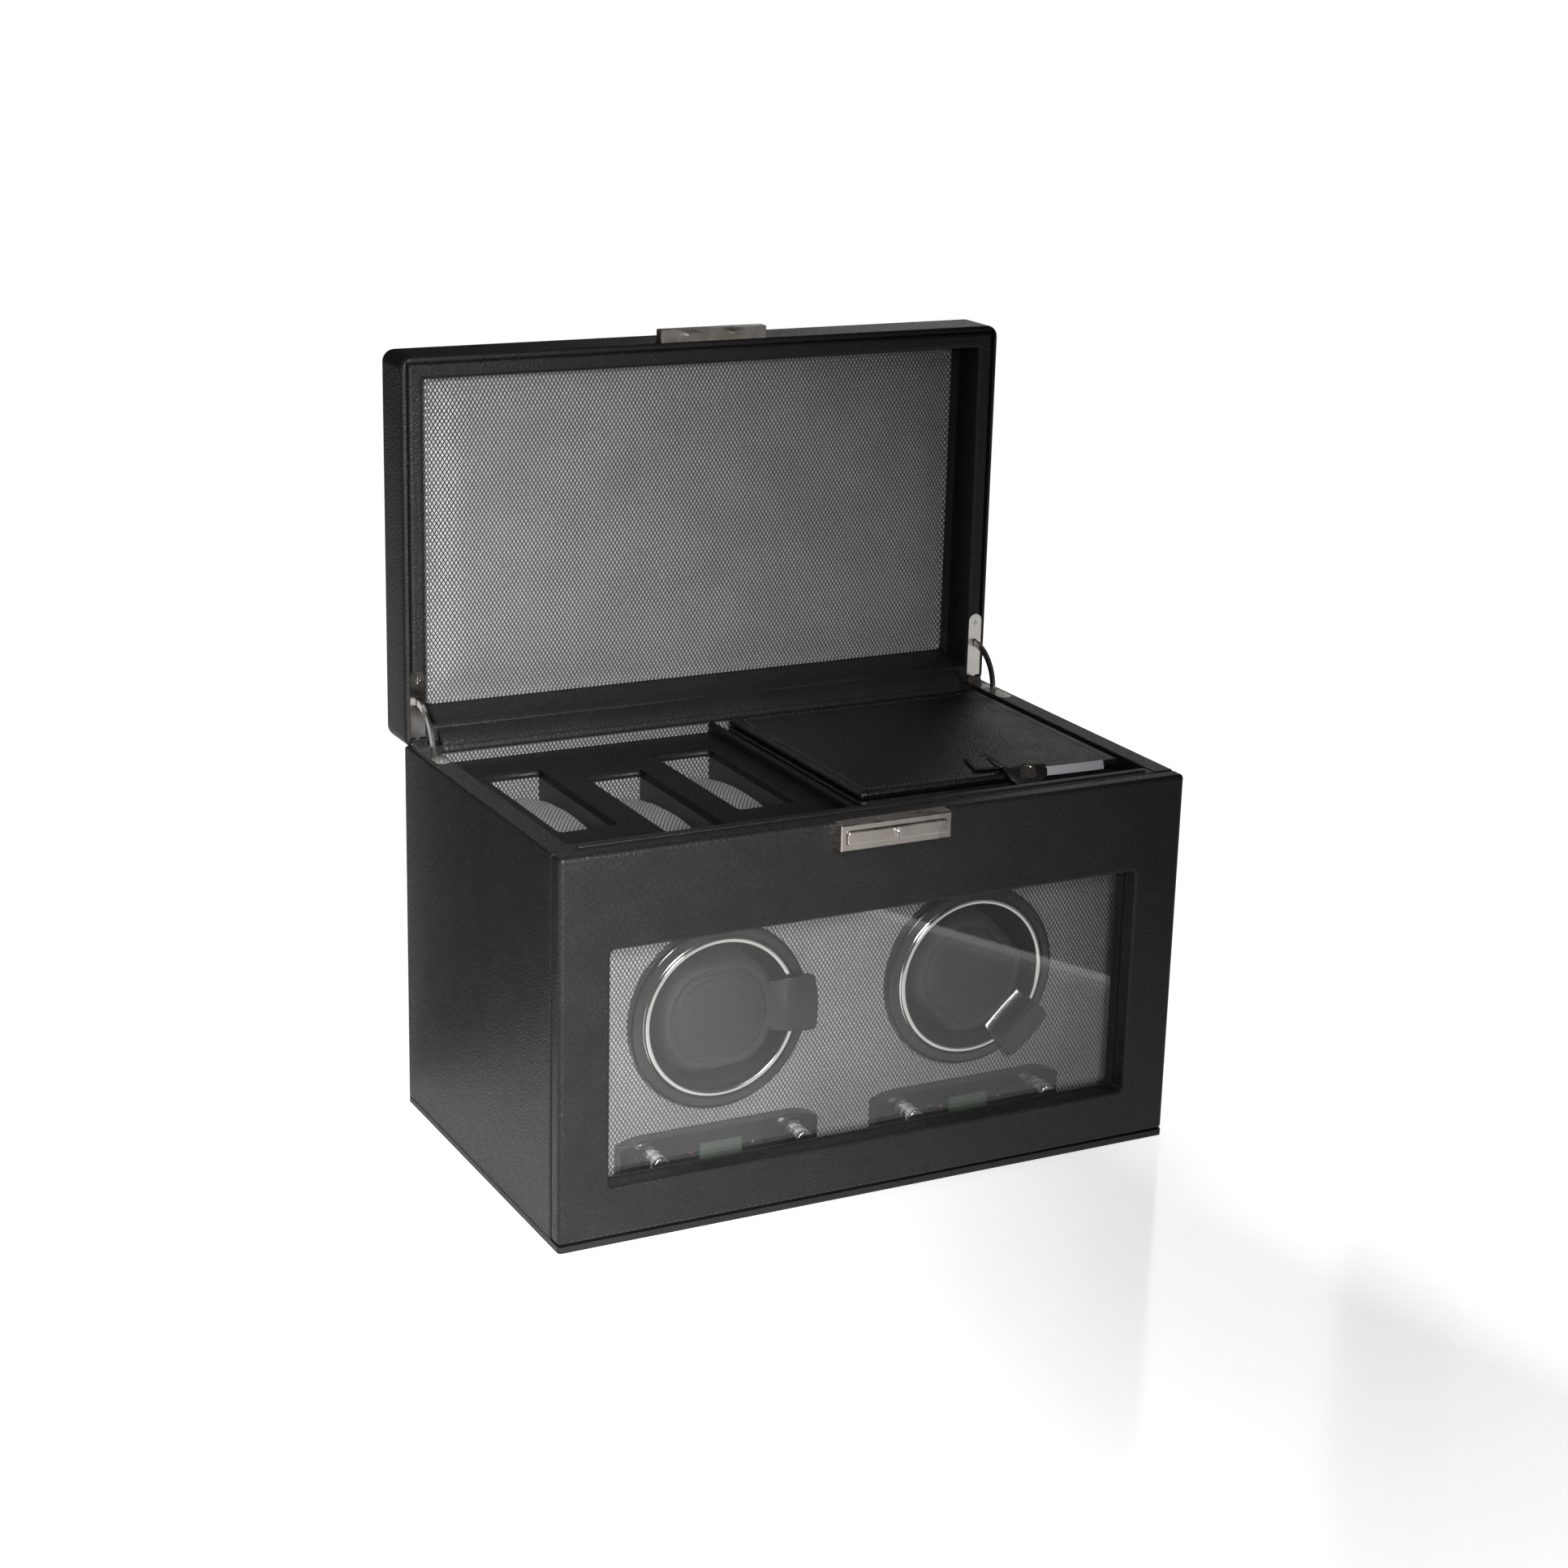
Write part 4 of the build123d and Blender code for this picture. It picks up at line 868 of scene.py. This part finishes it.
def flared_tab(name):
    """The cuff's pull tab: a glossy plate that lifts from the cuff, clears ring and bezel, and flares."""
    centre = station_centre(name)
    low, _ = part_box(f"cuff_tab_{name}")
    columns, rows = 18, 22
    reach = (25.5, 47.0)
    vertices = []
    for layer in (0, 1):
        for i in range(columns + 1):
            t = i / columns
            radius = reach[0] + (reach[1] - reach[0]) * t
            half = 12.4 + 2.2 * t
            setback = 0.6 + 5.8 * (1 - t) ** 3
            for j in range(rows + 1):
                v = 2 * j / rows - 1
                round_off = 2.6 * max(0.0, (t - 0.82) / 0.18) ** 2 * (v if v > 0 else 0.3 * v)
                bow = 1.4 * (1 - v * v) * t
                x = (radius + bow) * MM
                z = (half * v - round_off) * MM
                y = low.y + (setback + 1.5 * layer) * MM
                vertices.append(Vector((centre.x + x, y, centre.z + z)))
    tab = new_piece(f"flared_tab_{name}", vertices, sheet_faces(columns, rows), "black_gloss")
    turn_about(tab, centre, TAB_TURN[name])
    edge = tab.modifiers.new("edge", "BEVEL")
    edge.width = 0.35 * MM
    edge.segments = 2
    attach(tab, f"drum_{name}")
    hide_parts(f"cuff_tab_{name}")


def drum_ribs(name):
    """Moulded ribs round the inside of the drum, each a low rise in the bore."""
    centre = station_centre(name)
    low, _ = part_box(f"drum_cup_{name}")
    bore = 36.7 * MM
    pitch = 3.2 * MM
    profile = [(bore + 0.3 * MM, low.y + 1 * MM)]
    for k in range(14):
        y = low.y + 2 * MM + k * pitch
        for share, lift in ((0.0, 0.0), (0.2, 0.55), (0.35, 0.8), (0.5, 0.8), (0.65, 0.55), (0.85, 0.0)):
            profile.append((bore - lift * MM, y + share * pitch))
    profile.append((bore + 0.3 * MM, low.y + 3 * MM + 14 * pitch))
    new_piece(f"drum_ribs_{name}", *lathe(profile, centre, 120), "black_gloss", f"drum_{name}", "black_gloss")


def panel_lamps(name):
    low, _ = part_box("control_panels")
    x = SIDES[name] * station_centre("right").x
    for label, offset, material in (("run", -15.5, "lamp_red"), ("set", 16.7, "lamp_dark")):
        centre = Vector((x + offset * MM, low.y, 23.0 * MM))
        profile = [(0.95 * MM, low.y + 0.3 * MM), (0.9 * MM, low.y - 0.1 * MM), (0.6 * MM, low.y - 0.45 * MM),
                   (0.25 * MM, low.y - 0.6 * MM), (0.001 * MM, low.y - 0.62 * MM)]
        new_piece(f"lamp_{label}_{name}", *lathe(profile, centre, 24), material, "box", "lcd")


# ---- Door
def door_trim():
    low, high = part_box("door_panel")
    z = low.z + 2.0 * MM
    y = low.y + 0.05 * MM
    dashes = []
    count = 92
    for k in range(count):
        x = low.x + 5 * MM + (high.x - low.x - 10 * MM) * (k + 0.5) / count
        dashes.append([(x - 1.15 * MM, y, z - 0.35 * MM), (x + 1.15 * MM, y, z + 0.35 * MM)])
    stitches("door_hem_stitches", dashes, (0, -1, 0), "front_door", pitch=2.4, length=2.4, radius=0.34)


# ---- Stage
def area_light(name, place, target, size, power, colour=(1, 1, 1)):
    data = bpy.data.lights.new(name, "AREA")
    data.shape = "RECTANGLE"
    data.size, data.size_y = size
    data.energy = power
    data.color = colour
    light = bpy.data.objects.new(name, data)
    light.location = place
    light.rotation_mode = "QUATERNION"
    light.rotation_quaternion = (Vector(target) - Vector(place)).to_track_quat("-Z", "Y")
    light.visible_camera = False
    bpy.context.scene.collection.objects.link(light)
    return light


def softbox(name, place, target, size, power, spread, seam=0.12):
    """A softbox whose cloth has seams: four lit panels with a dark cross between them."""
    aim = (Vector(target) - Vector(place)).to_track_quat("-Z", "Y")
    panel = [side * (1 - seam) / 2 for side in size]
    for number, (across, up) in enumerate(((-1, -1), (1, -1), (1, 1), (-1, 1)), start=1):
        offset = Vector((across * size[0] / 4, up * size[1] / 4, 0))
        spot = Vector(place) + aim @ offset
        light = area_light(f"{name}_{number}", spot, spot + aim @ Vector((0, 0, -1)), panel, power / 4)
        light.data.spread = math.radians(spread)


def lights():
    softbox("key", (-0.34, -1.05, 0.56), (-0.29, 0.0, 0.11), (0.26, 0.32), 1.95, 47)
    softbox("front", (-0.10, -0.75, 0.95), (-0.12, 0.0, 0.15), (0.24, 0.24), 0.22, 100)
    area_light("back", (0.8, 1.0, 0.8), (0.1, 0.1, 0.2), (0.6, 0.4), 1.0)
    area_light("left", (-1.2, -0.25, 0.4), (-0.16, 0, 0.12), (0.4, 0.6), 0.02, (1.0, 0.90, 0.84))


def world():
    """White behind the object; dim for everything the object reflects."""
    made = bpy.data.worlds.new("studio")
    made.use_nodes = True
    nodes = made.node_tree.nodes
    links = made.node_tree.links
    background = nodes["Background"]
    rays = nodes.new("ShaderNodeLightPath")
    seen = nodes.new("ShaderNodeBackground")
    seen.inputs["Color"].default_value = (1, 1, 1, 1)
    seen.inputs["Strength"].default_value = 1.0
    background.inputs["Color"].default_value = (1.0, 0.99, 0.98, 1)
    background.inputs["Strength"].default_value = 0.03
    choose = nodes.new("ShaderNodeMixShader")
    links.new(rays.outputs["Is Camera Ray"], choose.inputs[0])
    links.new(background.outputs[0], choose.inputs[1])
    links.new(seen.outputs[0], choose.inputs[2])
    links.new(choose.outputs[0], nodes["World Output"].inputs["Surface"])
    bpy.context.scene.world = made


def floor():
    """A white polished table with a painted shade round the box: the glow it shows the camera is lower near
    the box and fades up to plain white away from it, behind it and to its right.
    """
    tree = Tree("floor_white")
    place = tree.place()
    away = tree.node("VectorMath", {"operation": "LENGTH"})
    tree.put(away.inputs[0], place)
    rays = tree.node("LightPath").outputs
    mirrored = tree.math("MULTIPLY", rays["Is Glossy Ray"], 0.48)
    # Painted shade: near the box the glow the camera sees starts lower, so the floor is darker round it.
    far = tree.ramp(away.outputs["Value"], 0.60, 1.05, 0.17, 0.70)
    across, back = tree.node("SeparateXYZ", Vector=place).outputs[:2]
    behind = tree.ramp(back, 0.55, 1.05, -0.12, 0.06)
    beside = tree.ramp(across, 0.55, 1.05, 0.08, 0.24)
    camera_glow_painted_shade = tree.math("MAXIMUM", tree.math("MAXIMUM", far, behind), beside)
    tree.finish(
        Base_Color=(0.93, 0.93, 0.93, 1.0),
        Roughness=tree.ramp(tree.noise(40.0, 3.0), 0.09, 0.13),
        Specular_IOR_Level=0.45,
        Emission_Color=(1.0, 1.0, 1.0, 1.0),
        Emission_Strength=tree.math("MULTIPLY_ADD", rays["Is Camera Ray"], camera_glow_painted_shade, mirrored),
    )
    turns, radius = 96, 1.7
    angles = [math.tau * k / turns for k in range(turns)]
    ring = [(radius * math.cos(angle), radius * math.sin(angle), 0) for angle in angles]
    mesh = bpy.data.meshes.new("floor")
    mesh.from_pydata(ring, [], [range(turns)])
    mesh.materials.append(tree.material)
    piece = bpy.data.objects.new("floor", mesh)
    bpy.context.scene.collection.objects.link(piece)


def flag():
    """Dark cards at the right and the rear left, which only mirror reflections see."""
    right = Vector((0.183, -0.427, 0)), Vector((0.290, -0.178, 0))
    left = Vector((-0.60, 0.12, 0)), Vector((-0.175, 0.12, 0))
    cards = (
        ("flag_edge", right, 0.0, 0.005, 1.3),
        ("flag", right, 0.005, 0.34, 0.15),
        ("left_flag", left, 0.0, 0.34, 0.02),
    )
    for name, (start, end), low, high, glow in cards:
        tree = Tree(name)
        tree.finish(Base_Color=(0.01, 0.01, 0.01, 1.0), Roughness=tree.ramp(tree.noise(20.0), 0.7, 0.9),
                    Emission_Color=(1.0, 1.0, 1.0, 1.0), Emission_Strength=glow)
        mesh = bpy.data.meshes.new(name)
        up = Vector((0, 0, 1))
        corners = [start + up * low, end + up * low, end + up * high, start + up * high]
        mesh.from_pydata(corners, [], [(0, 1, 2, 3)])
        mesh.materials.append(tree.material)
        piece = bpy.data.objects.new(name, mesh)
        bpy.context.scene.collection.objects.link(piece)
        piece.visible_camera = False
        piece.visible_diffuse = False
        piece.visible_shadow = False


def camera():
    """A long lens from the front left, a little above the lid's hinge line."""
    azimuth, elevation, roll = math.radians(27.67), math.radians(17.08), math.radians(1.45)
    forward = Vector((math.sin(azimuth) * math.cos(elevation), math.cos(azimuth) * math.cos(elevation),
                      -math.sin(elevation)))
    level = Vector((math.cos(azimuth), -math.sin(azimuth), 0))
    upright = level.cross(forward)
    right = level * math.cos(roll) + upright * math.sin(roll)
    up = right.cross(forward)
    data = bpy.data.cameras.new("camera")
    data.lens = 68.23
    data.sensor_width = 36.0
    data.clip_start, data.clip_end = 0.05, 100.0
    holder = bpy.data.objects.new("camera", data)
    turn = Matrix((right, up, -forward)).transposed().to_4x4()
    holder.matrix_world = Matrix.Translation((-0.6386, -1.2102, 0.5943)) @ turn
    bpy.context.scene.collection.objects.link(holder)
    bpy.context.scene.camera = holder


paint_cad()
lid_lining()
lid_mitres()
lid_flap()
tray_pillows()
tray_beads()
front_lip()
base_seams()
case_cover()
case_tub()
case_leaf()
case_patch()
case_band()
for side_name in SIDES:
    watch_cuff(side_name)
    bright_ring(side_name)
    flared_tab(side_name)
    for letter in "ab":
        fluted_knob(f"knob_{side_name}_{letter}")
    drum_ribs(side_name)
    panel_lamps(side_name)
door_trim()
lights()
world()
floor()
flag()
camera()
bpy.context.scene.view_settings.view_transform = "Standard"
